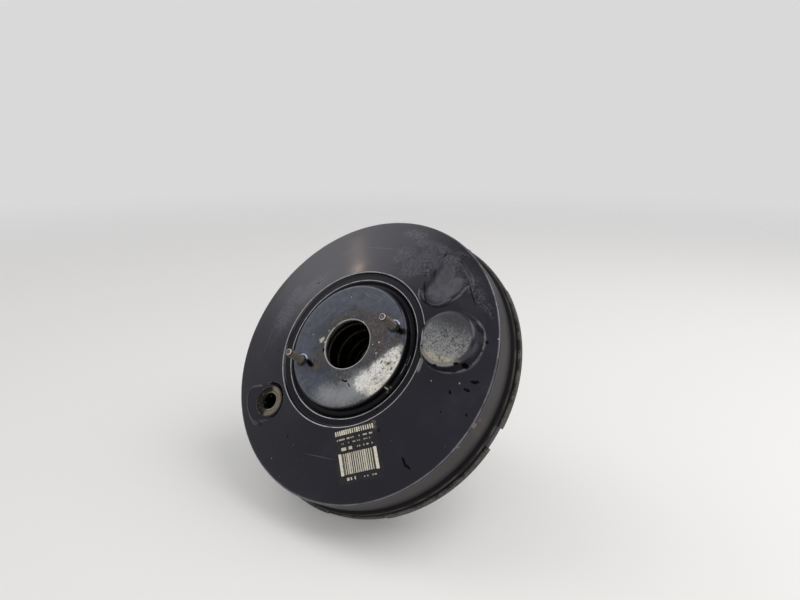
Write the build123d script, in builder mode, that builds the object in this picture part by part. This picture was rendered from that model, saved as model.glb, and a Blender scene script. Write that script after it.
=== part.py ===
from build123d import *
import math
import os

# Vacuum brake booster, single diaphragm, 11 inch class.
# Frame: the booster's axis is Y. The master cylinder side faces -Y, the firewall and
# pedal side faces +Y, +Z is up and the two master cylinder studs lie on a line along X.
# The origin is the centre of the firewall gasket's outer face. Millimetres.

os.makedirs("parts", exist_ok=True)

# ---------------------------------------------------------------- driving dimensions
H0 = 84.0            # distance from the firewall face to the shell's outer shoulder plane
SHEET = 2.0          # pressed steel thickness of both shells
R_WALL = 140.0       # front shell, outside of the side wall
R_BAND = 143.0       # front shell, outside of its flange
R_RIM = 145.8        # rear shell, outside of the crimped rim
H_PLATEAU = 20.6     # master cylinder face above the shoulder plane
R_PLATEAU = 60.6
R_NOSE_HOLE = 23.9   # hole for the master cylinder's nose
H_RING1, R_RING1 = 15.3, 76.1
H_RING2, R_RING2 = 13.0, 68.1
H_TROUGH, R_TROUGH = 11.0, 64.2
MC_STUD_X = 49.3     # half the spacing of the master cylinder studs
R_STUD = 3.95        # M8 studs
R_SHANK = 4.6        # a stud's knurled shank, where it is pressed into the plates
R_COLLAR, COLLAR_H = 6.0, 1.4   # round collar at a master cylinder stud's foot, flush in the shell and proud of it
MC_STUD_TIP_H = 42.8
BULGE_X, BULGE_Z = 95.6, -27.6
BULGE_R_BASE, BULGE_R_TOP, BULGE_H = 27.4, 22.3, 20.4
PAD_H = 8.6          # both stamped pads lie in this plane
PORT_X, PORT_Z = -96.2, -24.0
R_PORT = 7.45        # bore of the vacuum grommet
R_PORT_HOLE = 12.0
GASKET = 1.5
NECK_RO, NECK_RI, NECK_L = 31.8, 29.8, 14.0
FW_STUD_X, FW_STUD_Z = 45.0, 38.0
FW_STUD_L = 25.0
R_TAIL = 21.0        # valve body's sliding tube
TAIL_END = 76.0
STROKE = 34.0        # travel of the power piston
VALVE_TRAVEL = 1.5   # travel of the plunger in the valve body
BALL_Y, R_BALL = 7.0, 5.0
CLEVIS_PIN_Y = 122.0
R_CLEVIS_PIN = 5.05
SPRING_R, SPRING_WIRE = 26.5, 4.0
SPRING_REAR = -45.5
STUD_PLATE_T = 2.5


def yh(h):
    """Y of a point h in front of the shoulder plane."""
    return -(H0 + h)


def facing(h):
    """A plane square to the axis at height h, its local x and y being world X and Z, its normal -Y."""
    return Plane(origin=(0, yh(h), 0), x_dir=(1, 0, 0), z_dir=(0, -1, 0))


def across(y):
    """A plane square to the axis at world y, its local x and y being world X and Z, its normal -Y."""
    return Plane(origin=(0, y, 0), x_dir=(1, 0, 0), z_dir=(0, -1, 0))


def at(x, z):
    """An upright plane through (x, z) for turning a profile about an axis parallel to Y."""
    return Plane(origin=(x, 0, z), x_dir=(1, 0, 0), z_dir=(0, 0, 1))


def near(vertices, x, y):
    return sorted(vertices, key=lambda v: (v.X - x) ** 2 + (v.Y - y) ** 2)[:1]


def hull(points):
    """Convex outline round a set of points, counter-clockwise."""
    pts = sorted(set(points))
    lower, upper = [], []
    for chain, seq in ((lower, pts), (upper, pts[::-1])):
        for p in seq:
            while len(chain) > 1 and (chain[-1][0] - chain[-2][0]) * (p[1] - chain[-2][1]) - (chain[-1][1] - chain[-2][1]) * (p[0] - chain[-2][0]) <= 1e-9:
                chain.pop()
            chain.append(p)
    return lower[:-1] + upper[:-1]


def pad_outline(centre, radius, corners):
    """A round pad run out into a flat with the given corners."""
    ring = [(centre[0] + radius * math.cos(math.radians(a)), centre[1] + radius * math.sin(math.radians(a))) for a in range(0, 360, 20)]
    return hull(ring + list(corners))


def grow(points, d):
    """The same outline moved outward by d, corner for corner."""
    out = []
    n = len(points)
    for i in range(n):
        (ax, ay), (bx, by), (cx, cy) = points[i - 1], points[i], points[(i + 1) % n]
        l1, l2 = math.hypot(bx - ax, by - ay), math.hypot(cx - bx, cy - by)
        n1 = ((by - ay) / l1, -(bx - ax) / l1)
        n2 = ((cy - by) / l2, -(cx - bx) / l2)
        k = d / (1 + n1[0] * n2[0] + n1[1] * n2[1])
        out.append((bx + k * (n1[0] + n2[0]), by + k * (n1[1] + n2[1])))
    return out


def save(builder, name):
    builder.part.label = name
    export_step(builder.part, f"parts/{name}.step")


AXIS = Axis((0, 0, 0), (0, 1, 0))

# ---------------------------------------------------------------- front shell
# Outer skin, from the axis out to the flange edge. Pairs are radius and height h.
OUTER = [
    (0, H_PLATEAU), (R_PLATEAU, H_PLATEAU), (R_PLATEAU + 0.5, 12.4), (R_TROUGH, H_TROUGH),
    (R_RING2, H_RING2), (74.5, 12.9), (R_RING1, H_RING1), (R_WALL, 0.116), (R_WALL, -26.2),
    (138.9, -27.4), (139.2, -28.4), (142.4, -29.4), (R_BAND, -30.4), (R_BAND, -39.3),
]
# Inner skin, the sheet's thickness inside it.
INNER = [
    (0, H_PLATEAU - SHEET), (R_PLATEAU - 2.0, H_PLATEAU - SHEET), (R_PLATEAU - 1.6, 11.2), (R_TROUGH, 8.8),
    (R_RING2 + 0.6, 10.9), (75.6, 10.8), (77.1, 12.95), (138.0, -1.52), (138.0, -25.6),
    (136.9, -27.2), (137.5, -29.6), (140.3, -30.6), (141.0, -31.4), (141.0, -39.3),
]
PAD_A = pad_outline((91.5, 26.0), 14.1, [
    (81.5, 36.0), (99.4, 56.0), (104.5, 59.0), (109.4, 59.2), (116.4, 47.0), (121.6, 30.0), (121.8, 22.5), (118.9, 16.3), (95.9, 12.6)])
PAD_B = pad_outline((-97.0, PORT_Z), 17.0, [
    (-93.5, -7.4), (-108.0, -3.5), (-118.0, -1.6), (-123.0, -4.5), (-124.8, -12.0), (-124.6, -21.0), (-122.6, -29.0), (-118.0, -37.5), (-110.5, -35.4)])

with BuildPart() as outer_form:
    with BuildSketch(Plane.XY) as s:
        with BuildLine():
            Polyline([(r, yh(h)) for r, h in OUTER] + [(0, yh(-39.3)), (0, yh(H_PLATEAU))])
        make_face()
        for (x, y, rad) in (
            (R_PLATEAU, yh(H_PLATEAU), 3.8), (R_PLATEAU + 0.5, yh(12.4), 1.2), (R_TROUGH, yh(H_TROUGH), 1.6),
            (R_WALL, yh(0.116), 5.0),
        ):
            fillet(near(s.sketch.vertices(), x, y), rad)
    revolve(axis=AXIS)
    # round flat-topped bulge
    with BuildSketch(at(BULGE_X, BULGE_Z)) as s:
        with BuildLine():
            Polyline([(0, yh(BULGE_H)), (BULGE_R_TOP + 2.6, yh(BULGE_H)), (BULGE_R_BASE, yh(5)), (BULGE_R_BASE + 1, yh(-4)), (0, yh(-4)), (0, yh(BULGE_H))])
        make_face()
        fillet(near(s.sketch.vertices(), BULGE_R_TOP + 2.6, yh(BULGE_H)), 4.2)
    revolve(axis=Axis((BULGE_X, 0, BULGE_Z), (0, 1, 0)))
    # stamped flat pads: sunk into the cone on their inner side, proud of it on their outer side
    for outline in (PAD_A, PAD_B):
        with BuildSketch(facing(PAD_H)):
            Polygon(*outline, align=None)
        with BuildSketch(facing(PAD_H + 8)):
            Polygon(*grow(outline, 8 * math.tan(math.radians(25))), align=None)
        loft(ruled=True, mode=Mode.SUBTRACT)
        with BuildSketch(facing(PAD_H)):
            Polygon(*outline, align=None)
        with BuildSketch(facing(PAD_H - 10)):
            Polygon(*grow(outline, 10 * math.tan(math.radians(22))), align=None)
        loft(ruled=True, mode=Mode.ADD)

with BuildPart() as inner_form:
    with BuildSketch(Plane.XY) as s:
        with BuildLine():
            Polyline([(r, yh(h)) for r, h in INNER] + [(0, yh(-39.3)), (0, yh(H_PLATEAU - SHEET))])
        make_face()
        for (x, y, rad) in (
            (R_PLATEAU - 2.0, yh(H_PLATEAU - SHEET), 2.0), (R_TROUGH, yh(8.8), 1.6), (138.0, yh(-1.52), 3.0),
        ):
            fillet(near(s.sketch.vertices(), x, y), rad)
    revolve(axis=AXIS)
    with BuildSketch(at(BULGE_X, BULGE_Z)) as s:
        with BuildLine():
            Polyline([(0, yh(BULGE_H - SHEET)), (BULGE_R_TOP + 0.8, yh(BULGE_H - SHEET)), (BULGE_R_BASE - 2.1, yh(5)), (BULGE_R_BASE - 1.2, yh(-4)), (0, yh(-4)), (0, yh(BULGE_H - SHEET))])
        make_face()
        fillet(near(s.sketch.vertices(), BULGE_R_TOP + 0.8, yh(BULGE_H - SHEET)), 2.6)
    revolve(axis=Axis((BULGE_X, 0, BULGE_Z), (0, 1, 0)))
    for outline in (PAD_A, PAD_B):
        with BuildSketch(facing(PAD_H - SHEET)):
            Polygon(*grow(outline, 1.3), align=None)
        with BuildSketch(facing(PAD_H - SHEET + 9)):
            Polygon(*grow(outline, 1.3 + 9 * math.tan(math.radians(25))), align=None)
        loft(ruled=True, mode=Mode.SUBTRACT)
        with BuildSketch(facing(PAD_H - SHEET)):
            Polygon(*grow(outline, -1.35), align=None)
        with BuildSketch(facing(PAD_H - SHEET - 8)):
            Polygon(*grow(outline, -1.35 + 8 * math.tan(math.radians(22))), align=None)
        loft(ruled=True, mode=Mode.ADD)

with BuildPart() as front_shell:
    add(outer_form.part)
    add(inner_form.part, mode=Mode.SUBTRACT)
    with BuildSketch(facing(H_PLATEAU + 1)):
        Circle(R_NOSE_HOLE)
    extrude(amount=-6, mode=Mode.SUBTRACT)
    with BuildSketch(facing(H_PLATEAU + 1)):
        with Locations((MC_STUD_X, 0), (-MC_STUD_X, 0)):
            Circle(R_COLLAR)
    extrude(amount=-6, mode=Mode.SUBTRACT)
    with BuildSketch(facing(PAD_H + 2)):
        with Locations((PORT_X, PORT_Z)):
            Circle(R_PORT_HOLE)
    extrude(amount=-8, mode=Mode.SUBTRACT)
save(front_shell, "front_shell")
print("front_shell solids", len(front_shell.part.solids()), round(front_shell.part.volume))

# ---------------------------------------------------------------- rear shell
RIM_FRONT, RIM_REAR = -48.0, -42.5
FACE_Y = -GASKET
REAR_OUT = [
    (NECK_RO, NECK_L), (NECK_RO, FACE_Y), (75.0, FACE_Y), (81.5, -6.2), (122.0, -10.6), (129.5, -16.5), (136.0, -29.5), (136.0, RIM_REAR),
    (R_RIM, RIM_REAR), (R_RIM, RIM_FRONT), (R_RIM - 2.0, RIM_FRONT), (R_RIM - 2.0, -44.5), (134.0, -44.5),
    (134.0, -30.0), (127.9, -17.8), (121.1, -12.6), (80.6, -8.2), (74.2, FACE_Y - SHEET), (NECK_RI, FACE_Y - SHEET), (NECK_RI, NECK_L),
]
with BuildPart() as rear_shell:
    with BuildSketch(Plane.XY) as s:
        with BuildLine():
            Polyline(REAR_OUT + [REAR_OUT[0]])
        make_face()
        for (x, y, rad) in (
            (NECK_RO, FACE_Y, 1.5), (75.0, FACE_Y, 2.5), (81.5, -6.2, 2.0), (122.0, -10.6, 7.0), (129.5, -16.5, 6.0), (136.0, -29.5, 8.0),
            (R_RIM, RIM_REAR, 1.2), (R_RIM, RIM_FRONT, 0.8), (134.0, -30.0, 6.0), (127.9, -17.8, 4.0), (121.1, -12.6, 5.0),
        ):
            fillet(near(s.sketch.vertices(), x, y), rad)
    revolve(axis=AXIS)
    with BuildSketch(across(FACE_Y + 4)):
        with Locations(*[(sx * FW_STUD_X, sz * FW_STUD_Z) for sx in (1, -1) for sz in (1, -1)]):
            Circle(R_SHANK)
    extrude(amount=8, mode=Mode.SUBTRACT)
    # deep notches where the rim is lanced, and shallow flats between them
    for centre_deg, half_deg, depth in ((-45.4, 3.9, 2.7), (74.6, 3.9, 2.7), (194.6, 3.9, 2.7), (24.0, 12.0, 0.9), (139.0, 12.0, 0.9), (254.0, 12.0, 0.9)):
        a0, a1 = math.radians(centre_deg - half_deg), math.radians(centre_deg + half_deg)
        ri, ro = R_RIM - depth, R_RIM + 3
        with BuildSketch(across(RIM_REAR + 1)):
            with BuildLine():
                am = (a0 + a1) / 2
                ThreePointArc((ri * math.cos(a0), ri * math.sin(a0)), (ri * math.cos(am), ri * math.sin(am)), (ri * math.cos(a1), ri * math.sin(a1)))
                Line((ri * math.cos(a1), ri * math.sin(a1)), (ro * math.cos(a1), ro * math.sin(a1)))
                ThreePointArc((ro * math.cos(a1), ro * math.sin(a1)), (ro * math.cos(am), ro * math.sin(am)), (ro * math.cos(a0), ro * math.sin(a0)))
                Line((ro * math.cos(a0), ro * math.sin(a0)), (ri * math.cos(a0), ri * math.sin(a0)))
            make_face()
        extrude(amount=8, mode=Mode.SUBTRACT)
save(rear_shell, "rear_shell")
print("rear_shell solids", len(rear_shell.part.solids()), round(rear_shell.part.volume))


def profile(points):
    """A closed face from (radius, y) pairs, to be turned about the booster's axis."""
    with BuildSketch(Plane.XY) as face:
        with BuildLine():
            Polyline(list(points) + [points[0]])
        make_face()
    return face.sketch


def band(line, t):
    """Outline of an even sheet of thickness t that follows an open line of (radius, y) pairs."""
    left, right = [], []
    n = len(line)
    for i, (x, y) in enumerate(line):
        (ax, ay), (bx, by) = line[max(i - 1, 0)], line[min(i + 1, n - 1)]
        d1 = (x - ax, y - ay) if i else (bx - x, by - y)
        d2 = (bx - x, by - y) if i < n - 1 else d1
        l1, l2 = math.hypot(*d1), math.hypot(*d2)
        n1, n2 = (d1[1] / l1, -d1[0] / l1), (d2[1] / l2, -d2[0] / l2)
        k = (t / 2) / (1 + n1[0] * n2[0] + n1[1] * n2[1])
        left.append((x + k * (n1[0] + n2[0]), y + k * (n1[1] + n2[1])))
        right.append((x - k * (n1[0] + n2[0]), y - k * (n1[1] + n2[1])))
    return left + right[::-1]


# ---------------------------------------------------------------- plates, studs, gasket
PL_FRONT = yh(H_PLATEAU - SHEET)
PL_REAR = PL_FRONT + STUD_PLATE_T
with BuildPart() as stud_plate:
    with BuildSketch(across(PL_REAR)):
        Circle(55.5)
        Circle(24.4, mode=Mode.SUBTRACT)
        with Locations((MC_STUD_X, 0), (-MC_STUD_X, 0)):
            Circle(R_SHANK, mode=Mode.SUBTRACT)
    extrude(amount=STUD_PLATE_T)
save(stud_plate, "stud_plate")

STUD_TIP = yh(MC_STUD_TIP_H)
with BuildPart() as master_cylinder_studs:
    for x in (MC_STUD_X, -MC_STUD_X):
        with BuildSketch(at(x, 0)):
            with BuildLine():
                Polyline([(0, PL_REAR + 2.6), (7.0, PL_REAR + 2.6), (7.4, PL_REAR + 2.2), (7.4, PL_REAR), (R_SHANK, PL_REAR), (R_SHANK, PL_FRONT),
                          (R_COLLAR, PL_FRONT), (R_COLLAR, yh(H_PLATEAU + COLLAR_H) + 0.4), (R_COLLAR - 0.4, yh(H_PLATEAU + COLLAR_H)), (R_STUD, yh(H_PLATEAU + COLLAR_H)),
                          (R_STUD, STUD_TIP + 1.1), (R_STUD - 1.1, STUD_TIP), (0, STUD_TIP), (0, PL_REAR + 2.6)])
            make_face()
        revolve(axis=Axis((x, 0, 0), (0, 1, 0)))
save(master_cylinder_studs, "master_cylinder_studs")

RP_REAR = FACE_Y - SHEET
RP_FRONT = RP_REAR - STUD_PLATE_T
with BuildPart() as rear_stud_plate:
    with BuildSketch(across(RP_REAR)):
        Circle(71.5)
        Circle(32.0, mode=Mode.SUBTRACT)
        with Locations(*[(sx * FW_STUD_X, sz * FW_STUD_Z) for sx in (1, -1) for sz in (1, -1)]):
            Circle(R_SHANK, mode=Mode.SUBTRACT)
    extrude(amount=STUD_PLATE_T)
save(rear_stud_plate, "rear_stud_plate")

with BuildPart() as firewall_studs:
    for sx in (1, -1):
        for sz in (1, -1):
            x, z = sx * FW_STUD_X, sz * FW_STUD_Z
            with BuildSketch(at(x, z)):
                with BuildLine():
                    Polyline([(0, RP_FRONT - 2.4), (7.0, RP_FRONT - 2.4), (7.4, RP_FRONT - 2.0), (7.4, RP_FRONT), (R_SHANK, RP_FRONT), (R_SHANK, 0), (R_STUD, 0.3),
                              (R_STUD, FW_STUD_L - 1.1), (R_STUD - 1.1, FW_STUD_L), (0, FW_STUD_L), (0, RP_FRONT - 2.4)])
                make_face()
            revolve(axis=Axis((x, 0, z), (0, 1, 0)))
save(firewall_studs, "firewall_studs")

with BuildPart() as firewall_gasket:
    with BuildSketch(across(0)):
        Circle(71.0)
        Circle(34.5, mode=Mode.SUBTRACT)
        with Locations(*[(sx * FW_STUD_X, sz * FW_STUD_Z) for sx in (1, -1) for sz in (1, -1)]):
            Circle(R_SHANK + 0.8, mode=Mode.SUBTRACT)
    extrude(amount=GASKET)
save(firewall_gasket, "firewall_gasket")

# ---------------------------------------------------------------- vacuum grommet (empty)
GP = yh(PAD_H)
with BuildPart() as vacuum_grommet:
    with BuildSketch(at(PORT_X, PORT_Z)) as s:
        with BuildLine():
            Polyline([(R_PORT, GP - 1.6), (11.0, GP - 3.6), (14.0, GP - 3.6), (15.4, GP - 2.2), (15.4, GP), (R_PORT_HOLE, GP), (R_PORT_HOLE, GP + SHEET),
                      (13.8, GP + SHEET), (13.8, GP + 4.0), (11.0, GP + 8.4), (R_PORT, GP + 8.4), (R_PORT, GP - 1.6)])
        make_face()
        fillet(near(s.sketch.vertices(), 14.0, GP - 3.6), 0.8)
    revolve(axis=Axis((PORT_X, 0, PORT_Z), (0, 1, 0)))
save(vacuum_grommet, "vacuum_grommet")

# ---------------------------------------------------------------- seal, guide and retainer in the neck
with BuildPart() as rear_seal:
    revolve(profile([(R_TAIL + 0.05, 1.0), (R_TAIL + 1.3, 0.1), (24.6, 3.0), (26.0, 0.8), (NECK_RI, 0.8), (NECK_RI, 6.0), (23.2, 6.0), (R_TAIL + 0.05, 4.2)]), axis=AXIS)
save(rear_seal, "rear_seal")

with BuildPart() as guide_bearing:
    revolve(profile([(R_TAIL + 0.05, 6.0), (NECK_RI, 6.0), (NECK_RI, 9.6), (R_TAIL + 0.05, 9.6)]), axis=AXIS)
save(guide_bearing, "guide_bearing")

with BuildPart() as seal_retainer:
    revolve(profile([(24.0, 9.6), (NECK_RI, 9.6), (NECK_RI, 13.2), (28.6, 13.2), (28.6, 10.8), (24.0, 10.8)]), axis=AXIS)
save(seal_retainer, "seal_retainer")

# ---------------------------------------------------------------- identification label, lying on the cone
LABEL_T = 0.25
R_LABEL = 77.0       # its upper edge stops at the ring
(r1, h1), (r2, h2) = (R_RING1, H_RING1), (R_WALL, 0.116)
slope = (h2 - h1) / (r2 - r1)


def cone_h(r):
    return h1 + slope * (r - r1)


with BuildPart() as identification_label:
    with BuildSketch(Plane.XY):
        with BuildLine():
            Polyline([(R_LABEL, yh(cone_h(R_LABEL))), (130.0, yh(cone_h(130.0))), (130.0, yh(cone_h(130.0) + LABEL_T)), (R_LABEL, yh(cone_h(R_LABEL) + LABEL_T)), (R_LABEL, yh(cone_h(R_LABEL)))])
        make_face()
    revolve(axis=AXIS)
    with BuildSketch(facing(30)):
        with Locations(Location((-5.5, -98.9), -2.9)):
            RectangleRounded(45.0, 46.0, 1.5)
    extrude(amount=-40, mode=Mode.INTERSECT)
save(identification_label, "identification_label")
print("label", len(identification_label.part.solids()), identification_label.part.bounding_box())

# ---------------------------------------------------------------- power piston
with BuildPart() as valve_body:
    with BuildSketch(Plane.XY) as s:
        with BuildLine():
            Polyline([
                (11.1, -44.0), (32.0, -44.0), (32.0, -26.0), (29.0, -26.0), (29.0, -13.0), (R_TAIL, -11.5), (R_TAIL, TAIL_END),
                (17.5, TAIL_END), (17.5, 28.0), (14.0, 28.0), (14.0, 12.4), (13.2, 12.4), (13.2, 11.6), (12.2, 11.6), (12.2, 12.4), (11.4, 12.4),
                (11.4, -1.5), (6.05, -1.5), (6.05, -36.0), (11.1, -36.0), (11.1, -44.0),
            ])
        make_face()
        for (x, y, rad) in ((32.0, -44.0, 1.5), (R_TAIL, TAIL_END, 0.8), (17.5, TAIL_END, 0.8)):
            fillet(near(s.sketch.vertices(), x, y), rad)
    revolve(axis=AXIS)
    # slot for the stop key
    with BuildSketch(Plane(origin=(-40, 0, 0), x_dir=(0, 1, 0), z_dir=(1, 0, 0))):
        with Locations((-8.4, 0)):
            Rectangle(5.0, 13.0)
    extrude(amount=80, mode=Mode.SUBTRACT)
    # vacuum passages from the front chamber to the poppet seat
    with BuildSketch(across(11.0)):
        with Locations((0, 14.6), (0, -14.6)):
            Circle(2.4)
    extrude(amount=60, mode=Mode.SUBTRACT)
    # moulded pockets round the hub
    with BuildSketch(across(-27.0)):
        with PolarLocations(30.8, 12, start_angle=15):
            Rectangle(2.6, 4.0)
    extrude(amount=14.5, mode=Mode.SUBTRACT)
save(valve_body, "valve_body")
print("valve_body solids", len(valve_body.part.solids()))

PLATE_BACK = [(29.0, -24.0), (38.0, -24.0), (46.5, -14.5), (106.5, -16.2), (116.5, -19.2), (124.0, -28.5), (127.5, -37.0)]
with BuildPart() as diaphragm_plate:
    with BuildSketch(Plane.XY) as s:
        with BuildLine():
            Polyline(PLATE_BACK + [(126.1, -37.6), (122.7, -29.3), (115.6, -20.5), (106.1, -17.7), (47.3, -16.0), (38.8, -25.5), (29.0, -25.5), (29.0, -24.0)])
        make_face()
    revolve(axis=AXIS)
save(diaphragm_plate, "diaphragm_plate")

with BuildPart() as diaphragm:
    with BuildSketch(Plane.XY) as s:
        with BuildLine():
            Polyline([
                (29.0, -24.0), (38.0, -24.0), (46.5, -14.5), (106.5, -16.2), (116.5, -19.2), (124.0, -28.5), (127.5, -37.0), (128.2, -37.0), (129.4, -31.0),
                (131.4, -31.0), (131.4, -46.4), (136.0, -46.4), (136.6, -51.0), (140.8, -51.0), (140.8, -44.6), (133.2, -44.6),
                (133.2, -31.0), (130.8, -28.2), (126.4, -27.4), (117.6, -17.6), (107.0, -14.4), (47.2, -12.6), (46.0, -12.6), (37.4, -21.6), (35.0, -21.6), (34.0, -18.2), (29.0, -18.2), (29.0, -24.0),
            ])
        make_face()
    revolve(axis=AXIS)
save(diaphragm, "diaphragm")

with BuildPart() as diaphragm_retainer:
    revolve(profile([(29.0, -18.2), (33.6, -18.2), (33.6, -17.0), (30.4, -17.0), (30.4, -14.6), (29.0, -14.6)]), axis=AXIS)
save(diaphragm_retainer, "diaphragm_retainer")

with BuildPart() as reaction_disc:
    revolve(profile([(0.0, -40.6), (10.7, -40.6), (11.0, -40.2), (11.0, -36.4), (10.7, -36.0), (0.0, -36.0)]), axis=AXIS)
save(reaction_disc, "reaction_disc")

with BuildPart() as output_rod:
    revolve(profile([(0.0, -40.6), (10.9, -40.6), (10.9, -43.9), (8.0, -43.9), (5.0, -46.6), (5.0, -57.0), (0.0, -57.0)]), axis=AXIS)
save(output_rod, "output_rod")

with BuildPart() as output_rod_tip:
    with BuildSketch(across(-57.0)):
        RegularPolygon(radius=4.6, side_count=6)
    extrude(amount=3.2)
    with BuildSketch(Plane.XY):
        with BuildLine():
            Line((0, -60.2), (3.8, -60.2))
            Line((3.8, -60.2), (3.4, -61.6))
            ThreePointArc((3.4, -61.6), (1.8, -62.9), (0, -63.3))
            Line((0, -63.3), (0, -60.2))
        make_face()
    revolve(axis=AXIS)
save(output_rod_tip, "output_rod_tip")
with BuildPart() as rod_retainer:
    revolve(profile([(8.6, -44.0), (30.4, -44.0), (30.4, -45.4), (24.0, -45.5), (23.0, -47.6), (22.0, -47.6), (22.6, -45.5), (8.6, -45.5)]), axis=AXIS)
save(rod_retainer, "rod_retainer")


# control valve
with BuildPart() as poppet:
    revolve(profile([(6.6, 12.6), (11.8, 12.6), (11.8, 14.2), (10.6, 14.6), (10.9, 21.0), (12.0, 21.0), (12.0, 23.0), (9.9, 23.0), (9.5, 15.4), (6.6, 14.4)]), axis=AXIS)
save(poppet, "poppet")

with BuildPart() as poppet_retainer:
    revolve(profile([(12.0, 14.6), (14.0, 14.6), (14.0, 25.0), (7.6, 25.0), (7.6, 23.0), (12.0, 23.0)]), axis=AXIS)
save(poppet_retainer, "poppet_retainer")



def coil(radius, wire, y_front, y_rear, pitch):
    """A round-wire spring between two seats square to the axis."""
    length = (y_rear - y_front) - wire
    with BuildLine() as path:
        Helix(pitch=pitch, height=length, radius=radius, center=(0, y_front + wire / 2, 0), direction=(0, 1, 0))
    with BuildSketch(Plane(origin=path.line @ 0, z_dir=path.line % 0)) as section:
        Circle(wire / 2)
    sweep(section.sketch, path=path.line)


with BuildPart() as poppet_spring:
    coil(8.4, 0.9, 15.2, 22.95, 1.9)
save(poppet_spring, "poppet_spring")

with BuildPart() as return_spring:
    coil(SPRING_R, SPRING_WIRE, PL_REAR, SPRING_REAR, 16.4)
save(return_spring, "return_spring")

with BuildPart() as air_filter:
    revolve(profile([(9.2, 44.0), (17.4, 44.0), (17.4, 68.0), (9.2, 68.0)]), axis=AXIS)
save(air_filter, "air_filter")

with BuildPart() as silencer:
    revolve(profile([(9.0, 68.0), (17.4, 68.0), (17.4, 74.6), (9.6, 74.6), (9.0, 74.0)]), axis=AXIS)
save(silencer, "silencer")

# ---------------------------------------------------------------- plunger and key
with BuildPart() as valve_plunger:
    with BuildSketch(Plane.XY):
        with BuildLine():
            Polyline([
                (0, -34.2), (4.5, -34.2), (6.0, -32.8), (6.0, -8.95), (4.5, -8.95), (4.5, -6.35), (6.0, -6.35), (6.0, 0.8), (9.4, 2.2),
                (9.4, 12.2), (8.2, 12.2), (7.0, 11.0), (4.6, 10.6), (4.6, 9.8), (R_BALL + 0.05, 9.0), (R_BALL + 0.05, 2.0), (0, 1.8), (0, -34.2),
            ])
        make_face()
    revolve(axis=AXIS)
save(valve_plunger, "valve_plunger")

with BuildPart() as stop_key:
    with BuildSketch(across(-6.4)):
        Rectangle(67.0, 11.6)
        with Locations((0, 3.5)):
            Rectangle(9.1, 7.0, mode=Mode.SUBTRACT)
        Circle(4.55, mode=Mode.SUBTRACT)
    extrude(amount=2.5)
    fillet(stop_key.edges().filter_by(Axis.Y).sort_by(Axis.X)[-2:], 3.0)
    fillet(stop_key.edges().filter_by(Axis.Y).sort_by(Axis.X)[:2], 3.0)
save(stop_key, "stop_key")

# ---------------------------------------------------------------- input rod, nut and clevis
with BuildPart() as input_rod:
    with BuildSketch(Plane.XY):
        with BuildLine():
            b = math.asin(3.6 / R_BALL)
            ThreePointArc((0, BALL_Y - R_BALL), (R_BALL, BALL_Y), (R_BALL * math.sin(b), BALL_Y + R_BALL * math.cos(b)))
            Polyline([(3.6, BALL_Y + R_BALL * math.cos(b)), (3.6, 26.0), (5.0, 28.0), (5.0, 38.0), (6.2, 38.0), (6.2, 39.6), (5.0, 39.6), (5.0, 107.0), (4.2, 108.0), (0, 108.0), (0, BALL_Y - R_BALL)])
        make_face()
    revolve(axis=AXIS)
save(input_rod, "input_rod")
with BuildPart() as rod_spring_seat:
    revolve(profile([(5.05, 36.6), (12.4, 36.6), (12.4, 37.9), (5.05, 37.9)]), axis=AXIS)
save(rod_spring_seat, "rod_spring_seat")

with BuildPart() as valve_return_spring:
    coil(10.3, 1.3, 25.05, 36.55, 2.7)
save(valve_return_spring, "valve_return_spring")

with BuildPart() as jam_nut:
    with BuildSketch(across(92.0)):
        RegularPolygon(radius=8.5, side_count=6, major_radius=False)
        Circle(5.0, mode=Mode.SUBTRACT)
    extrude(amount=6.0)
    with BuildSketch(Plane.XY):
        with BuildLine():
            Polyline([(9.2, 85.9), (10.6, 85.9), (10.6, 86.9), (9.2, 85.9)])
        make_face()
    revolve(axis=AXIS, mode=Mode.SUBTRACT)
save(jam_nut, "jam_nut")

with BuildPart() as clevis:
    with BuildSketch(Plane(origin=(0, 0, 0), x_dir=(1, 0, 0), z_dir=(0, 0, 1))) as s:
        with Locations((0, 112.0)):
            Rectangle(20.0, 40.0)
        with Locations((0, 121.0)):
            Rectangle(11.0, 22.0, mode=Mode.SUBTRACT)
    extrude(amount=9.0, both=True)
    with BuildSketch(Plane(origin=(-20, 0, 0), x_dir=(0, 1, 0), z_dir=(1, 0, 0))):
        with Locations((CLEVIS_PIN_Y, 0)):
            Circle(R_CLEVIS_PIN)
    extrude(amount=40, mode=Mode.SUBTRACT)
    with BuildSketch(across(110.5)):
        Circle(5.0)
    extrude(amount=20, mode=Mode.SUBTRACT)
    fillet(clevis.edges().filter_by(Axis.X).sort_by(Axis.Y)[-4:], 7.5)
    fillet(clevis.edges().filter_by(Axis.Y).group_by(Axis.X)[0] + clevis.edges().filter_by(Axis.Y).group_by(Axis.X)[-1], 1.5)
save(clevis, "clevis")

# ---------------------------------------------------------------- dust boot: cuff on the neck, five folds, cuff on the valve body's tail
BOOT_T = 1.7
BOOT_LINE = [(NECK_RO + 0.05 + BOOT_T / 2, 2.5), (NECK_RO + 0.05 + BOOT_T / 2, 15.6)]
for i in range(5):
    BOOT_LINE.append((37.4 - 1.5 * i, 20.0 + 9.2 * i))
    BOOT_LINE.append((31.6 - 1.6 * i, 24.6 + 9.2 * i))
BOOT_LINE[-1] = (24.2, 61.6)
BOOT_LINE += [(R_TAIL + 0.05 + BOOT_T / 2, 64.8), (R_TAIL + 0.05 + BOOT_T / 2, 72.0)]
with BuildPart() as dust_boot:
    revolve(profile(band(BOOT_LINE, BOOT_T)), axis=AXIS)
save(dust_boot, "dust_boot")
print("all parts written")
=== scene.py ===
import math

import bmesh
import bpy
import numpy as np
from mathutils import Matrix, Vector
from mathutils.geometry import delaunay_2d_cdt


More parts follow.
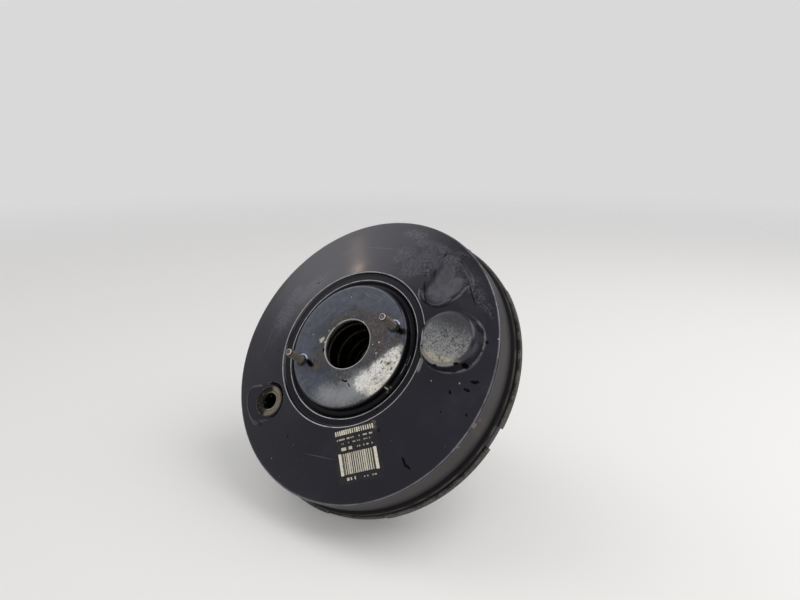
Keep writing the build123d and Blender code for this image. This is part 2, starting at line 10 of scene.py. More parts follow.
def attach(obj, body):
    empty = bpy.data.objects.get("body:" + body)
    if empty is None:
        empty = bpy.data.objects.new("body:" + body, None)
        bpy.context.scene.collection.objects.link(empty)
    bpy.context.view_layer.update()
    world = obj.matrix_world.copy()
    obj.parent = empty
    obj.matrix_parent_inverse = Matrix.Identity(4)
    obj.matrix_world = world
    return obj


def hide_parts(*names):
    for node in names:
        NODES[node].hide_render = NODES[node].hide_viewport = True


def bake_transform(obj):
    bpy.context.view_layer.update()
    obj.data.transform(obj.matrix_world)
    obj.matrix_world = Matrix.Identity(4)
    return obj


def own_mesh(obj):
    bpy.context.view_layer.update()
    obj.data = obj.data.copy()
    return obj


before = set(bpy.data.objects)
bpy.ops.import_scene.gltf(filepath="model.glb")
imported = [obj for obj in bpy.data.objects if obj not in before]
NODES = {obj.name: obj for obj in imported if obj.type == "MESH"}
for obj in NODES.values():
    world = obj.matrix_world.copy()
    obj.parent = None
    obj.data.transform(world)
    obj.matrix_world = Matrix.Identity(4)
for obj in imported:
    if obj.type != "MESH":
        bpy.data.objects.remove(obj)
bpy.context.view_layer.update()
rng = np.random.default_rng(7)
MM = 0.001

# =====================================================================================
# dimensions, in millimetres; h is the height in front of the shoulder plane, y = -(84 + h)
# =====================================================================================
H0 = 84.0
T = 2.0
R_HOLE, R_WALL, R_BAND, R_RIM = 23.9, 140.0, 143.0, 145.8
H_PLATEAU, R_PLATEAU = 20.6, 60.6
H_RING1, R_RING1, H_RING2, R_RING2, H_TROUGH, R_TROUGH = 15.3, 76.1, 13.0, 68.1, 11.0, 64.2
STUD_X, R_STUD, STUD_TIP = 49.3, 3.95, 42.8
BX, BZ = 95.6, -27.6
PX, PZ = -96.2, -24.0
PAD_H = 8.6


def Y(h):
    return -(H0 + h)


# =====================================================================================
# mesh helpers
# =====================================================================================
def rounded(points, n=6):
    """(a, b[, fillet radius]) corners of an open polyline, with arcs put in at the filleted ones."""
    out = []
    for i, p in enumerate(points):
        a = np.array(p[:2], float)
        rad = p[2] if len(p) > 2 else 0
        if rad <= 0 or i in (0, len(points) - 1):
            out.append(tuple(a))
            continue
        u = np.array(points[i - 1][:2], float) - a
        v = np.array(points[i + 1][:2], float) - a
        lu, lv = np.linalg.norm(u), np.linalg.norm(v)
        u, v = u / lu, v / lv
        ang = math.acos(max(-1, min(1, float(u @ v))))
        if ang > math.pi - 0.02:
            out.append(tuple(a))
            continue
        d = min(rad / math.tan(ang / 2), 0.48 * lu, 0.48 * lv)
        rad = d * math.tan(ang / 2)
        bis = (u + v) / np.linalg.norm(u + v)
        c = a + bis * (rad / math.sin(ang / 2))
        s, e = a + u * d - c, a + v * d - c
        t0, t1 = math.atan2(s[1], s[0]), math.atan2(e[1], e[0])
        dt = (t1 - t0 + math.pi) % (2 * math.pi) - math.pi
        m = max(2, int(math.ceil(abs(dt) / (math.pi / 2) * n)))
        for k in range(m + 1):
            t = t0 + dt * k / m
            out.append((c[0] + rad * math.cos(t), c[1] + rad * math.sin(t)))
    return out


def closed_rounded(points, n=6):
    """The same for a closed polyline."""
    k = len(points)
    full = rounded([points[-1]] + list(points) + [points[0]], n)
    out = full[1:-1]
    clean = [out[0]]
    for p in out[1:]:
        if math.hypot(p[0] - clean[-1][0], p[1] - clean[-1][1]) > 1e-4:
            clean.append(p)
    return clean


def make_object(name, verts, faces, sharp=32.0, weld=0.0):
    """A mesh object from vertices in millimetres, smooth shaded with its sharp edges marked."""
    me = bpy.data.meshes.new(name)
    me.from_pydata([tuple(v) for v in (np.asarray(verts, float) * MM)], [], faces)
    bm = bmesh.new()
    bm.from_mesh(me)
    if weld:
        bmesh.ops.remove_doubles(bm, verts=bm.verts, dist=weld * MM)
    bmesh.ops.dissolve_degenerate(bm, dist=1e-8, edges=bm.edges)
    bmesh.ops.recalc_face_normals(bm, faces=bm.faces)
    lim = math.radians(sharp)
    for f in bm.faces:
        f.smooth = True
    for e in bm.edges:
        e.smooth = not (len(e.link_faces) == 2 and e.calc_face_angle(0) > lim)
    bm.to_mesh(me)
    bm.free()
    me.update()
    ob = bpy.data.objects.new(name, me)
    bpy.context.scene.collection.objects.link(ob)
    return ob


def thetas(n, extra=()):
    t = list(np.linspace(0, 2 * math.pi, n, endpoint=False)) + [x % (2 * math.pi) for x in extra]
    t = sorted(set(round(x, 6) for x in t))
    return np.array(t)


def lathe_grid(profile, th, centre=(0.0, 0.0), warp=None):
    """Rows of points round an axis parallel to Y. profile is (r, y) pairs; warp may move (r, y, theta)."""
    prof = np.asarray(profile, float)
    r = np.repeat(prof[:, 0:1], len(th), 1)
    y = np.repeat(prof[:, 1:2], len(th), 1)
    t = np.repeat(th[None, :], len(prof), 0)
    if warp is not None:
        r, y = warp(r, y, t)
    return np.stack([centre[0] + r * np.cos(t), y, centre[1] + r * np.sin(t)], -1)


def grid_faces(rows, cols, offset=0, wrap_rows=False):
    f = []
    last = rows if wrap_rows else rows - 1
    for i in range(last):
        a0, b0 = offset + i * cols, offset + ((i + 1) % rows) * cols
        for j in range(cols):
            k = (j + 1) % cols
            f.append((a0 + j, a0 + k, b0 + k, b0 + j))
    return f


def lathe(name, profile, n=192, centre=(0.0, 0.0), closed=True, warp=None, extra=(), sharp=32.0, weld=0.002):
    th = thetas(n, extra)
    g = lathe_grid(profile, th, centre, warp)
    rows, cols = g.shape[:2]
    return make_object(name, g.reshape(-1, 3), grid_faces(rows, cols, 0, closed), sharp, weld)


class Build:
    """Collects grids of points and faces into one mesh."""

    def __init__(self):
        self.v, self.f, self.n = [], [], 0

    def grid(self, g, wrap_rows=False, wrap_cols=True, flip=False):
        rows, cols = g.shape[:2]
        self.v.append(g.reshape(-1, 3))
        o = self.n
        last_r = rows if wrap_rows else rows - 1
        last_c = cols if wrap_cols else cols - 1
        for i in range(last_r):
            a0, b0 = o + i * cols, o + ((i + 1) % rows) * cols
            for j in range(last_c):
                k = (j + 1) % cols
                q = (a0 + j, a0 + k, b0 + k, b0 + j)
                self.f.append(q[::-1] if flip else q)
        self.n += rows * cols

    def tris(self, v, f):
        self.v.append(np.asarray(v, float))
        self.f += [tuple(self.n + i for i in t) for t in f]
        self.n += len(v)

    def fan(self, ring, tip):
        k = len(ring)
        self.v.append(np.vstack([ring, [tip]]))
        self.f += [(self.n + i, self.n + (i + 1) % k, self.n + k) for i in range(k)]
        self.n += k + 1

    def done(self, name, sharp=32.0, weld=0.002):
        return make_object(name, np.vstack(self.v), self.f, sharp, weld)


def waves(x, z, seed, wavelengths, amps):
    """Smooth seeded unevenness over x and z, in millimetres."""
    g = np.random.default_rng(seed)
    out = np.zeros_like(np.asarray(x, float))
    for wl, am in zip(wavelengths, amps):
        for _ in range(5):
            a, ph = g.uniform(0, 2 * math.pi), g.uniform(0, 2 * math.pi)
            out = out + am / 2.2 * np.sin((np.cos(a) * x + np.sin(a) * z) * 2 * math.pi / wl + ph)
    return out


# =====================================================================================
# front shell
# =====================================================================================
def hull(points):
    pts = sorted(set(points))
    lower, upper = [], []
    for chain, seq in ((lower, pts), (upper, pts[::-1])):
        for p in seq:
            while len(chain) > 1 and (chain[-1][0] - chain[-2][0]) * (p[1] - chain[-2][1]) - (chain[-1][1] - chain[-2][1]) * (p[0] - chain[-2][0]) <= 1e-9:
                chain.pop()
            chain.append(p)
    return lower[:-1] + upper[:-1]


def pad_outline(centre, radius, corners):
    ring = [(centre[0] + radius * math.cos(math.radians(a)), centre[1] + radius * math.sin(math.radians(a))) for a in range(0, 360, 20)]
    return hull(ring + list(corners))


def grow(points, d):
    out, n = [], len(points)
    for i in range(n):
        (ax, ay), (bx, by), (cx, cy) = points[i - 1], points[i], points[(i + 1) % n]
        l1, l2 = math.hypot(bx - ax, by - ay), math.hypot(cx - bx, cy - by)
        n1 = ((by - ay) / l1, -(bx - ax) / l1)
        n2 = ((cy - by) / l2, -(cx - bx) / l2)
        k = d / (1 + n1[0] * n2[0] + n1[1] * n2[1])
        out.append((bx + k * (n1[0] + n2[0]), by + k * (n1[1] + n2[1])))
    return out


PAD_A = pad_outline((91.5, 26.0), 14.1, [
    (81.5, 36.0), (99.4, 56.0), (104.5, 59.0), (109.4, 59.2), (116.4, 47.0), (121.6, 30.0), (121.8, 22.5), (118.9, 16.3), (95.9, 12.6)])
PAD_B = pad_outline((-97.0, PZ), 17.0, [
    (-93.5, -7.4), (-108.0, -3.5), (-118.0, -1.6), (-123.0, -4.5), (-124.8, -12.0), (-124.6, -21.0), (-122.6, -29.0), (-118.0, -37.5), (-110.5, -35.4)])


def signed(poly, x, z, soften):
    """Signed distance to a convex outline with its corners rounded, negative inside."""
    pts = np.array(grow(poly, -soften))
    best = np.full(np.shape(x), 1e9)
    inside = np.ones(np.shape(x), bool)
    for i in range(len(pts)):
        a, b = pts[i], pts[(i + 1) % len(pts)]
        d = b - a
        t = np.clip(((x - a[0]) * d[0] + (z - a[1]) * d[1]) / (d @ d), 0, 1)
        best = np.minimum(best, np.hypot(x - a[0] - t * d[0], z - a[1] - t * d[1]))
        inside &= (d[0] * (z - a[1]) - d[1] * (x - a[0])) >= 0
    return np.where(inside, -best, best) - soften


def softplus(s, k):
    return np.where(s > 6 * k, s, k * np.log1p(np.exp(np.clip(s / k, -30, 30))))


def smin(a, b, k):
    k = np.maximum(k, 1e-6)
    d = np.maximum(k - np.abs(a - b), 0) / k
    return np.minimum(a, b) - d * d * k / 4


MAIN = rounded([
    (R_HOLE, H_PLATEAU), (R_PLATEAU, H_PLATEAU, 3.9), (R_PLATEAU + 0.55, 12.35, 1.6), (R_TROUGH + 0.2, H_TROUGH - 0.1, 1.8),
    (R_RING2, H_RING2, 0.8), (74.3, 12.95, 1.0), (75.95, 15.34, 0.7), (139.9, 0.14)], 8)
MAIN_R, MAIN_H = np.array([p[0] for p in MAIN]), np.array([p[1] for p in MAIN])


def h_field(x, z):
    """Height of the outer skin between the trough and the shoulder."""
    r = np.hypot(x, z)
    h = np.interp(r, MAIN_R, MAIN_H)
    for poly, soft in ((PAD_A, 3.0), (PAD_B, 3.0)):
        sd = signed(poly, x, z, soft)
        hi = PAD_H + 2.14 * softplus(sd - 0.3, 0.45)
        lo = PAD_H - 2.3 * softplus(sd - 0.3, 0.45)
        k = np.minimum(1.5, (hi - lo) * 0.7)
        h = smin(h, hi, k)
        h = -smin(-h, -lo, k)
    fade = np.clip((r - 78) / 10, 0, 1) * np.clip((137 - r) / 8, 0, 1)
    return h + waves(x, z, 3, (95, 48), (0.16, 0.05)) * fade


def bulge_rows(phi):
    """The bulge as rows round its own axis, from the cone up over the top, for the angles phi."""
    c, s = np.cos(phi), np.sin(phi)

    def cone(rho):
        return h_field(BX + rho * c, BZ + rho * s)

    rows = []
    rb = 28.0
    for rho in (32.0, 31.2, 30.6):
        rows.append((np.full_like(phi, rho), cone(rho)))
    A = (np.full_like(phi, 30.2), cone(30.2))
    C = (np.full_like(phi, 27.9), cone(28.0) + 0.1)
    top_r, top_h = 24.7, 20.4
    slope = (top_r - 27.9) / (top_h - 5.0)
    B = (27.9 + slope * 2.6, C[1] + 2.6)
    for t in np.linspace(0, 1, 9):
        rows.append(tuple((1 - t) ** 2 * A[i] + 2 * t * (1 - t) * C[i] + t * t * B[i] for i in (0, 1)))
    rt = 27.9 + slope * (top_h - C[1])
    D = (rt - slope * 4.4, np.full_like(phi, top_h - 4.4))
    for t in (0.25, 0.5, 0.75):
        rows.append(tuple((1 - t) * B[i] + t * D[i] for i in (0, 1)))
    E = (rt, np.full_like(phi, top_h))
    F = (rt - 4.4, np.full_like(phi, top_h))
    for t in np.linspace(0, 1, 11):
        rows.append(tuple((1 - t) ** 2 * D[i] + 2 * t * (1 - t) * E[i] + t * t * F[i] for i in (0, 1)))
    for k in (0.97, 0.92, 0.85, 0.75, 0.62, 0.48, 0.33, 0.18, 0.06):
        rho = F[0] * k
        rows.append((rho, top_h + waves(BX + rho * c, BZ + rho * s, 9, (30, 14), (0.07, 0.03)) * min(1, (1 - k) * 3)))
    return rows


def build_front_shell():
    b = Build()
    n1 = 720
    th = np.linspace(0, 2 * math.pi, n1, endpoint=False)
    r_in, r_out = 66.0, 136.0

    # plateau, its lip, its wall and the trough, outside then inside
    lip = rounded([(R_HOLE, H_PLATEAU - T + 0.3, 0.25), (R_HOLE, H_PLATEAU - 0.02, 0.45), (26.5, H_PLATEAU)], 6)
    lip = [(R_HOLE + 0.3, H_PLATEAU - T)] + lip
    rows = [(r, h) for r, h in lip]
    for r in (29, 33, 38, 43, 48, 52, 55):
        rows.append((r, H_PLATEAU))
    rows += [(r, h) for r, h in MAIN if 56.0 < r < r_in - 0.05]
    rows.append((r_in, float(np.interp(r_in, MAIN_R, MAIN_H))))
    g = lathe_grid([(r, Y(h)) for r, h in rows], th)
    x, z = g[..., 0], g[..., 2]
    rr = np.hypot(x, z)
    # the ripple that pressing leaves on a flat
    flat = np.clip((rr - 25) / 4, 0, 1) * np.clip((56 - rr) / 4, 0, 1)
    g[..., 1] -= waves(x, z, 21, (40, 19), (0.09, 0.035)) * flat
    b.grid(g)
    inner = rounded([(R_HOLE + 0.3, H_PLATEAU - T), (R_PLATEAU - 2.0, H_PLATEAU - T, 2.2), (R_PLATEAU - 1.5, 10.6, 1.2), (r_in, float(np.interp(r_in, MAIN_R, MAIN_H)) - T)], 5)
    b.grid(lathe_grid([(r, Y(h)) for r, h in inner], th), flip=True)

    # the cone with the pads, as one triangulated field
    pts, kinds = [], []

    def ring(r, n, cx=0.0, cz=0.0, ph=0.0):
        t = np.linspace(0, 2 * math.pi, n, endpoint=False) + ph
        return np.stack([cx + r * np.cos(t), cz + r * np.sin(t)], 1)

    inner_ring, outer_ring = ring(r_in, n1), ring(r_out, n1)
    nb = 288
    bulge_ring = ring(32.0, nb, BX, BZ)
    np_ = 120
    port_ring = ring(12.0, np_, PX, PZ)
    fixed = [inner_ring, outer_ring, bulge_ring, port_ring]
    radii = [66.6, 67.0, 67.3, 67.6, 67.9, 68.2, 68.5, 68.8, 69.2, 69.8, 70.8, 72.0, 73.0, 73.6, 73.95, 74.25, 74.55, 74.85, 75.15, 75.4, 75.65, 75.9, 76.15, 76.4, 76.7, 77.1, 77.6]
    main = [ring(r, 720) for r in radii]
    for i, r in enumerate(np.arange(79.2, 135.2, 1.6)):
        main.append(ring(r, 480, ph=(i % 2) * math.pi / 480))
    main = np.vstack(main)
    local = []
    for poly in (PAD_A, PAD_B):
        for d in list(np.arange(-2.4, 5.2, 0.34)) + [6.0, 7.0, 8.2]:
            # rounded outline at signed distance d, as the shrunk polygon's edges pushed out with arcs at its corners
            core = np.array(grow(poly, -3.0))
            e = 3.0 + d
            out = []
            k = len(core)
            for i in range(k):
                p, q, w = core[i - 1], core[i], core[(i + 1) % k]
                d1, d2 = (q - p) / np.linalg.norm(q - p), (w - q) / np.linalg.norm(w - q)
                a1, a2 = math.atan2(-d1[0], d1[1]), math.atan2(-d2[0], d2[1])
                da = (a2 - a1) % (2 * math.pi)
                m = max(1, int(e * da / 0.6))
                for j in range(m + 1):
                    a = a1 + da * j / m
                    out.append(q + e * np.array([math.cos(a), math.sin(a)]))
                L = np.linalg.norm(w - q)
                m = max(1, int(L / 0.7))
                nrm = np.array([math.cos(a2), math.sin(a2)])
                for j in range(1, m):
                    out.append(q + (w - q) * j / m + e * nrm)
            local.append(np.array(out))
        lo, hi = np.min(poly, 0), np.max(poly, 0)
        gx, gz = np.meshgrid(np.arange(lo[0], hi[0], 1.3), np.arange(lo[1], hi[1], 1.3))
        gp = np.stack([gx.ravel(), gz.ravel()], 1)
        local.append(gp[signed(poly, gp[:, 0], gp[:, 1], 3.0) < -3.0])
    for rho in (32.8, 33.8):
        local.append(ring(rho, 240, BX, BZ, ph=0.013))
    for rho in (12.9, 14.2, 15.8):
        local.append(ring(rho, 120, PX, PZ, ph=0.026))
    local = np.vstack(local)

    def rad(p, cx=0.0, cz=0.0):
        return np.hypot(p[:, 0] - cx, p[:, 1] - cz)

    near_pads = np.minimum(signed(PAD_A, main[:, 0], main[:, 1], 3.0), signed(PAD_B, main[:, 0], main[:, 1], 3.0))
    keep = (rad(main, BX, BZ) > 32.5) & ((near_pads > 8.0) | (rad(main) < 78))
    main = main[keep]
    keep = (rad(local, BX, BZ) > 32.5) & (rad(local) > 78.3) & (rad(local) < 135.0) & (rad(local, PX, PZ) > 12.5)
    local = local[keep]
    # thin out points that crowd each other, first come first kept
    everything = np.vstack(fixed + [main, local])
    n_fixed = sum(len(f) for f in fixed)
    cell, taken, chosen = 0.30, {}, []
    keys = np.floor(everything / cell).astype(int)
    for i, (kx, kz) in enumerate(map(tuple, keys)):
        ok = True
        if i >= n_fixed:
            for dx in (-1, 0, 1):
                for dz in (-1, 0, 1):
                    j = taken.get((kx + dx, kz + dz))
                    if j is not None and (everything[i, 0] - everything[j, 0]) ** 2 + (everything[i, 1] - everything[j, 1]) ** 2 < 0.26 ** 2:
                        ok = False
        if ok:
            taken.setdefault((kx, kz), i)
            chosen.append(i)
    pts = everything[chosen]
    edges, o = [], 0
    for f in fixed:
        edges += [(o + i, o + (i + 1) % len(f)) for i in range(len(f))]
        o += len(f)
    v2, _, faces, *_ = delaunay_2d_cdt([Vector(p) for p in pts], edges, [], 0, 1e-5, False)
    v2 = np.array([tuple(p) for p in v2])
    faces = np.array(faces)
    c = v2[faces].mean(1)
    keep = (rad(c) > r_in * math.cos(math.pi / n1)) & (rad(c) < r_out) & (rad(c, BX, BZ) > 32.0 * math.cos(math.pi / nb)) & (rad(c, PX, PZ) > 12.0 * math.cos(math.pi / np_))
    faces = faces[keep]
    hh = h_field(v2[:, 0], v2[:, 1])
    top = np.stack([v2[:, 0], -(H0 + hh), v2[:, 1]], 1)
    low = top + np.array([0, T, 0])
    b.tris(top, faces)
    b.tris(low, faces[:, ::-1])
    hp = h_field(port_ring[:, 0], port_ring[:, 1])
    band = np.stack([np.stack([port_ring[:, 0], -(H0 + hp), port_ring[:, 1]], 1), np.stack([port_ring[:, 0], -(H0 + hp) + T, port_ring[:, 1]], 1)])
    b.grid(band)

    # bulge
    phi = np.linspace(0, 2 * math.pi, nb, endpoint=False)
    rows = bulge_rows(phi)
    g = np.stack([np.stack([BX + r * np.cos(phi), -(H0 + h), BZ + r * np.sin(phi)], -1) for r, h in rows])
    b.grid(g)
    b.fan(g[-1], (BX, float(g[-1, :, 1].mean()), BZ))
    g2 = g + np.array([0, T, 0])
    b.grid(g2, flip=True)
    b.fan(g2[-1], (BX, float(g2[-1, :, 1].mean()), BZ))

    # shoulder, side wall, groove and flange, then back inside
    outer = rounded([(r_out, float(np.interp(r_out, MAIN_R, MAIN_H))), (139.95, 0.13, 2.6), (R_WALL, -25.6, 1.2), (138.7, -27.5, 0.7), (139.1, -28.6, 0.8), (142.2, -29.3, 1.1),
                     (R_BAND, -30.5, 0.9), (R_BAND, -39.3)], 8)
    h_o = h_field(outer_ring[:, 0], outer_ring[:, 1])
    g = lathe_grid([(r, Y(h)) for r, h in outer], th)
    g[0, :, 1] = -(H0 + h_o)
    b.grid(g)
    inner = rounded([(r_out, float(np.interp(r_out, MAIN_R, MAIN_H)) - T), (137.9, -2.2, 3.2), (138.0, -25.6, 0.8), (136.7, -27.3, 0.8), (137.5, -29.6, 0.8), (140.3, -30.9, 0.8), (141.0, -31.8, 0.5), (141.0, -39.3), (R_BAND, -39.3)], 5)
    g = lathe_grid([(r, Y(h)) for r, h in inner], th)
    g[0, :, 1] = -(H0 + h_o) + T
    b.grid(g, flip=True)
    return b.done("front_shell_pressed", sharp=48.0, weld=0.004)


front_shell = build_front_shell()
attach(front_shell, "housing")
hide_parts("front_shell")
print("front shell", len(front_shell.data.vertices), len(front_shell.data.polygons))

# =====================================================================================
# rear shell: neck, firewall face, shoulder, side wall and the rim that clamps the front shell
# =====================================================================================
DEEP = [(-45.4, 3.9), (74.6, 3.9), (194.6, 3.9)]
SHALLOW = [(24.0, 12.0), (139.0, 12.0), (254.0, 12.0)]


def notch_radius(t):
    """How far the rim's edge may stand out at angle t."""
    lim = np.full(t.shape, 200.0)
    deg = np.degrees(t)
    for c, half in DEEP:
        d = np.abs((deg - c + 180) % 360 - 180)
        lim = np.where(d < half, 143.1, lim)
    for c, half in SHALLOW:
        d = np.abs((deg - c + 180) % 360 - 180)
        lim = np.minimum(lim, np.where(d < half, R_RIM - 0.9, np.where(d < half + 0.5, R_RIM - 0.9 + (d - half) * 1.8, 200.0)))
    return lim


def rim_warp(r, y, t):
    lim = notch_radius(t)
    return np.where(r > 143.0, np.minimum(r, lim), r), y


def build_rear_shell():
    extra = []
    for c, half in DEEP + SHALLOW:
        for s in (-1, 1):
            for e in (-0.06, 0.06, 0.55):
                extra.append(math.radians(c + s * (half + e)))
    th = thetas(480, extra)
    out = rounded([
        (29.9, 14.0), (31.8, 14.0, 0.9), (31.8, -1.5, 1.6), (75.0, -1.5, 2.6), (81.5, -6.2, 2.6), (122.0, -10.6, 7.0), (129.5, -16.5, 6.0), (136.0, -29.5, 8.0), (136.0, -42.5, 1.2),
        (R_RIM, -42.5, 1.3), (R_RIM, -44.6, 0.3), (R_RIM - 0.45, -45.0, 0.3), (R_RIM, -45.4, 0.3), (R_RIM, -48.0, 0.8), (143.05, -48.0, 0.4), (143.05, -44.5), (134.0, -44.5), (134.0, -30.0, 6.0), (127.9, -17.8, 4.0), (121.1, -12.6, 5.0),
        (80.6, -8.2, 1.5), (74.2, -3.5, 1.5), (29.9, -3.5), (29.9, 14.0)], 6)
    b = Build()
    g = lathe_grid(out, th, warp=rim_warp)
    x, z = g[..., 0], g[..., 2]
    r = np.hypot(x, z)
    a = np.arctan2(z, x)
    b.grid(g)
    return b.done("rear_shell_pressed", sharp=40.0, weld=0.004)


rear_shell = build_rear_shell()
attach(rear_shell, "housing")
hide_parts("rear_shell")

# =====================================================================================
# threaded pieces
# =====================================================================================
def thread_grid(b, cx, cz, y0, y1, crest=3.95, depth=0.62, pitch=1.25, n=40, per=8, sign=-1, run_in=1.0):
    """A right-hand thread between y0 and y1, rows going from y0 to y1."""
    th = np.linspace(0, 2 * math.pi, n, endpoint=False)
    L = abs(y1 - y0)
    m = max(2, int(L / pitch * per))
    s = np.linspace(0, 1, m + 1)
    y = y0 + (y1 - y0) * s[:, None] + 0 * th[None, :]
    ph = (sign * y / pitch - th[None, :] / (2 * math.pi)) % 1.0
    f = np.clip(np.abs(2 * ph - 1) * 1.3 - 0.12, 0, 1)
    d = np.minimum(s, 1 - s)[:, None] * L
    fade = np.clip(d / run_in, 0, 1)
    r = crest - depth * (f * fade + (1 - fade) * 0.9)
    g = np.stack([cx + r * np.cos(th), y, cz + r * np.sin(th)], -1)
    b.grid(g)
    return g


def ring_at(cx, cz, r, y, n=40):
    th = np.linspace(0, 2 * math.pi, n, endpoint=False)
    return np.stack([cx + r * np.cos(th), np.full(n, float(y)), cz + r * np.sin(th)], -1)


def stud(b, cx, cz, y_head, y_seat, y_collar, y_tip, collar_r, toward=-1):
    """A headed stud. toward is the direction of y from head to tip."""
    n = 40
    t = toward
    rows = [ring_at(cx, cz, r, y, n) for r, y in (
        (0.6, y_head), (6.6, y_head), (7.2, y_head + t * 0.3), (7.4, y_head + t * 0.7), (7.4, y_seat - t * 0.2), (7.2, y_seat), (3.7, y_seat))]
    b.fan(rows[0][::-1], (cx, y_head, cz))
    b.grid(np.stack(rows))
    if collar_r:
        prof = rounded([(collar_r, y_seat + t * 2.5), (collar_r, y_collar, 0.45), (4.35, y_collar, 0.3), (3.6, y_collar + t * 0.5)], 6)
        b.grid(np.stack([ring_at(cx, cz, r, y, n) for r, y in [(3.4, y_seat + t * 2.4)] + prof]))
        start = y_collar + t * 0.2
    else:
        start = y_seat
    g = thread_grid(b, cx, cz, start, y_tip - t * 1.35, n=n, sign=-1)
    tip = rounded([(3.30, y_tip - t * 1.35), (3.34, y_tip - t * 0.9), (2.75, y_tip - t * 0.08, 0.25), (2.3, y_tip, 0.15), (0.9, y_tip - t * 0.02), (0.6, y_tip - t * 0.28)], 4)
    tr = [ring_at(cx, cz, r, y, n) for r, y in tip]
    b.grid(np.stack([g[-1]] + tr))
    b.fan(tr[-1], (cx, y_tip - t * 0.3, cz))


b = Build()
for sx in (STUD_X, -STUD_X):
    stud(b, sx, 0.0, -97.5, -100.1, Y(H_PLATEAU + 1.4), Y(STUD_TIP), 6.0)
mc_studs = b.done("master_cylinder_studs_threaded", sharp=50.0)
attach(mc_studs, "housing")
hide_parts("master_cylinder_studs")

b = Build()
for sx in (45.0, -45.0):
    for sz in (38.0, -38.0):
        stud(b, sx, sz, -8.4, -6.0, 0, 25.0, 0, toward=1)
fw_studs = b.done("firewall_studs_threaded", sharp=50.0)
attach(fw_studs, "housing")
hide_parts("firewall_studs")

# =====================================================================================
# vacuum grommet
# =====================================================================================
GP = Y(PAD_H)
grommet = lathe("vacuum_grommet_rubber", closed_rounded([
    (7.5, GP - 0.6, 0.5), (8.3, GP - 1.9, 0.6), (9.6, GP - 2.3, 0.8), (11.0, GP - 3.45, 1.0), (13.6, GP - 3.6, 1.6), (15.4, GP - 2.4, 1.4), (15.4, GP - 0.1, 0.3), (12.0, GP - 0.1), (12.0, GP + 2.1),
    (13.8, GP + 2.1, 0.4), (13.8, GP + 3.8, 0.8), (11.2, GP + 7.9, 1.2), (8.4, GP + 8.4, 0.7), (7.5, GP + 7.6, 0.3), (7.5, GP + 4.4, 0.3), (7.9, GP + 3.8, 0.2), (7.5, GP + 3.2, 0.3)], 6),
    n=120, centre=(PX, PZ))
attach(grommet, "housing")
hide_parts("vacuum_grommet")

# =====================================================================================
# coil springs with closed ends
# =====================================================================================
def coil(name, radius, wire, y_front, y_rear, pitch, end_angle, flat=0.55, ease=0.3, n_wire=16, step_deg=6):
    """A compression spring. Its front end's tip lies at end_angle and its turns rise to the front counter-clockwise as seen from the front."""
    a, b_ = y_front + wire / 2, y_rear - wire / 2
    total = b_ - a
    turns = total / pitch + 2 * (flat + ease / 2)
    m = int(turns * 360 / step_deg)
    u = np.linspace(0, turns, m + 1)

    def rise(w):
        k = np.clip((w - flat) / ease, 0, 1)
        ramp = ease * (k ** 3 - k ** 4 / 2)
        return np.where(w > flat + ease, (w - flat - ease / 2), ramp) * pitch

    half = turns / 2
    y = np.where(u <= half, a + rise(u), b_ - rise(turns - u))
    t = math.radians(end_angle) - 2 * math.pi * u
    p = np.stack([radius * np.cos(t), y, radius * np.sin(t)], -1)
    d = np.gradient(p, axis=0)
    d /= np.linalg.norm(d, axis=1)[:, None]
    er = np.stack([np.cos(t), 0 * t, np.sin(t)], -1)
    eb = np.cross(d, er)
    eb /= np.linalg.norm(eb, axis=1)[:, None]
    ph = np.linspace(0, 2 * math.pi, n_wire, endpoint=False)
    w = wire / 2
    g = p[:, None, :] + w * (er[:, None, :] * np.cos(ph)[None, :, None] + eb[:, None, :] * np.sin(ph)[None, :, None])
    B = Build()
    B.grid(g)
    B.fan(g[0][::-1], tuple(p[0]))
    B.fan(g[-1], tuple(p[-1]))
    return B.done(name, sharp=50.0)


ret = coil("return_spring_coil", 26.5, 4.0, -100.1, -45.5, 16.5, 142.6, n_wire=20, step_deg=4)
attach(ret, "housing")
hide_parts("return_spring")
vrs = coil("valve_return_spring_coil", 10.3, 1.3, 25.05, 35.9, 2.75, 40.0, flat=0.5, n_wire=10, step_deg=10)
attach(vrs, "power_piston")
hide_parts("valve_return_spring")
pop = coil("poppet_spring_coil", 8.4, 0.9, 15.2, 22.95, 1.95, 40.0, flat=0.5, n_wire=8, step_deg=12)
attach(pop, "power_piston")
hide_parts("poppet_spring")

# =====================================================================================
# dust boot: a cuff on the neck, five folds, a cuff on the tail
# =====================================================================================
BT = 1.7
R_CUFF, R_TAILC = 31.85 + BT / 2, 21.05 + BT / 2
line = [(R_CUFF, 13.0), (R_CUFF, 15.6)]
for i in range(5):
    line.append((37.4 - 1.5 * i, 20.0 + 9.2 * i))
    line.append((31.6 - 1.6 * i, 24.6 + 9.2 * i))
line[-1] = (24.2, 61.6)
line += [(R_TAILC, 64.8), (R_TAILC, 66.0)]
fold_line = rounded([(r, y, 1.7) for r, y in line], 7)


def sheet_outline(pts, t):
    p = np.array(pts, float)
    d = np.gradient(p, axis=0)
    d /= np.linalg.norm(d, axis=1)[:, None]
    nrm = np.stack([d[:, 1], -d[:, 0]], 1)
    return [tuple(q) for q in np.vstack([p + nrm * t / 2, (p - nrm * t / 2)[::-1]])]


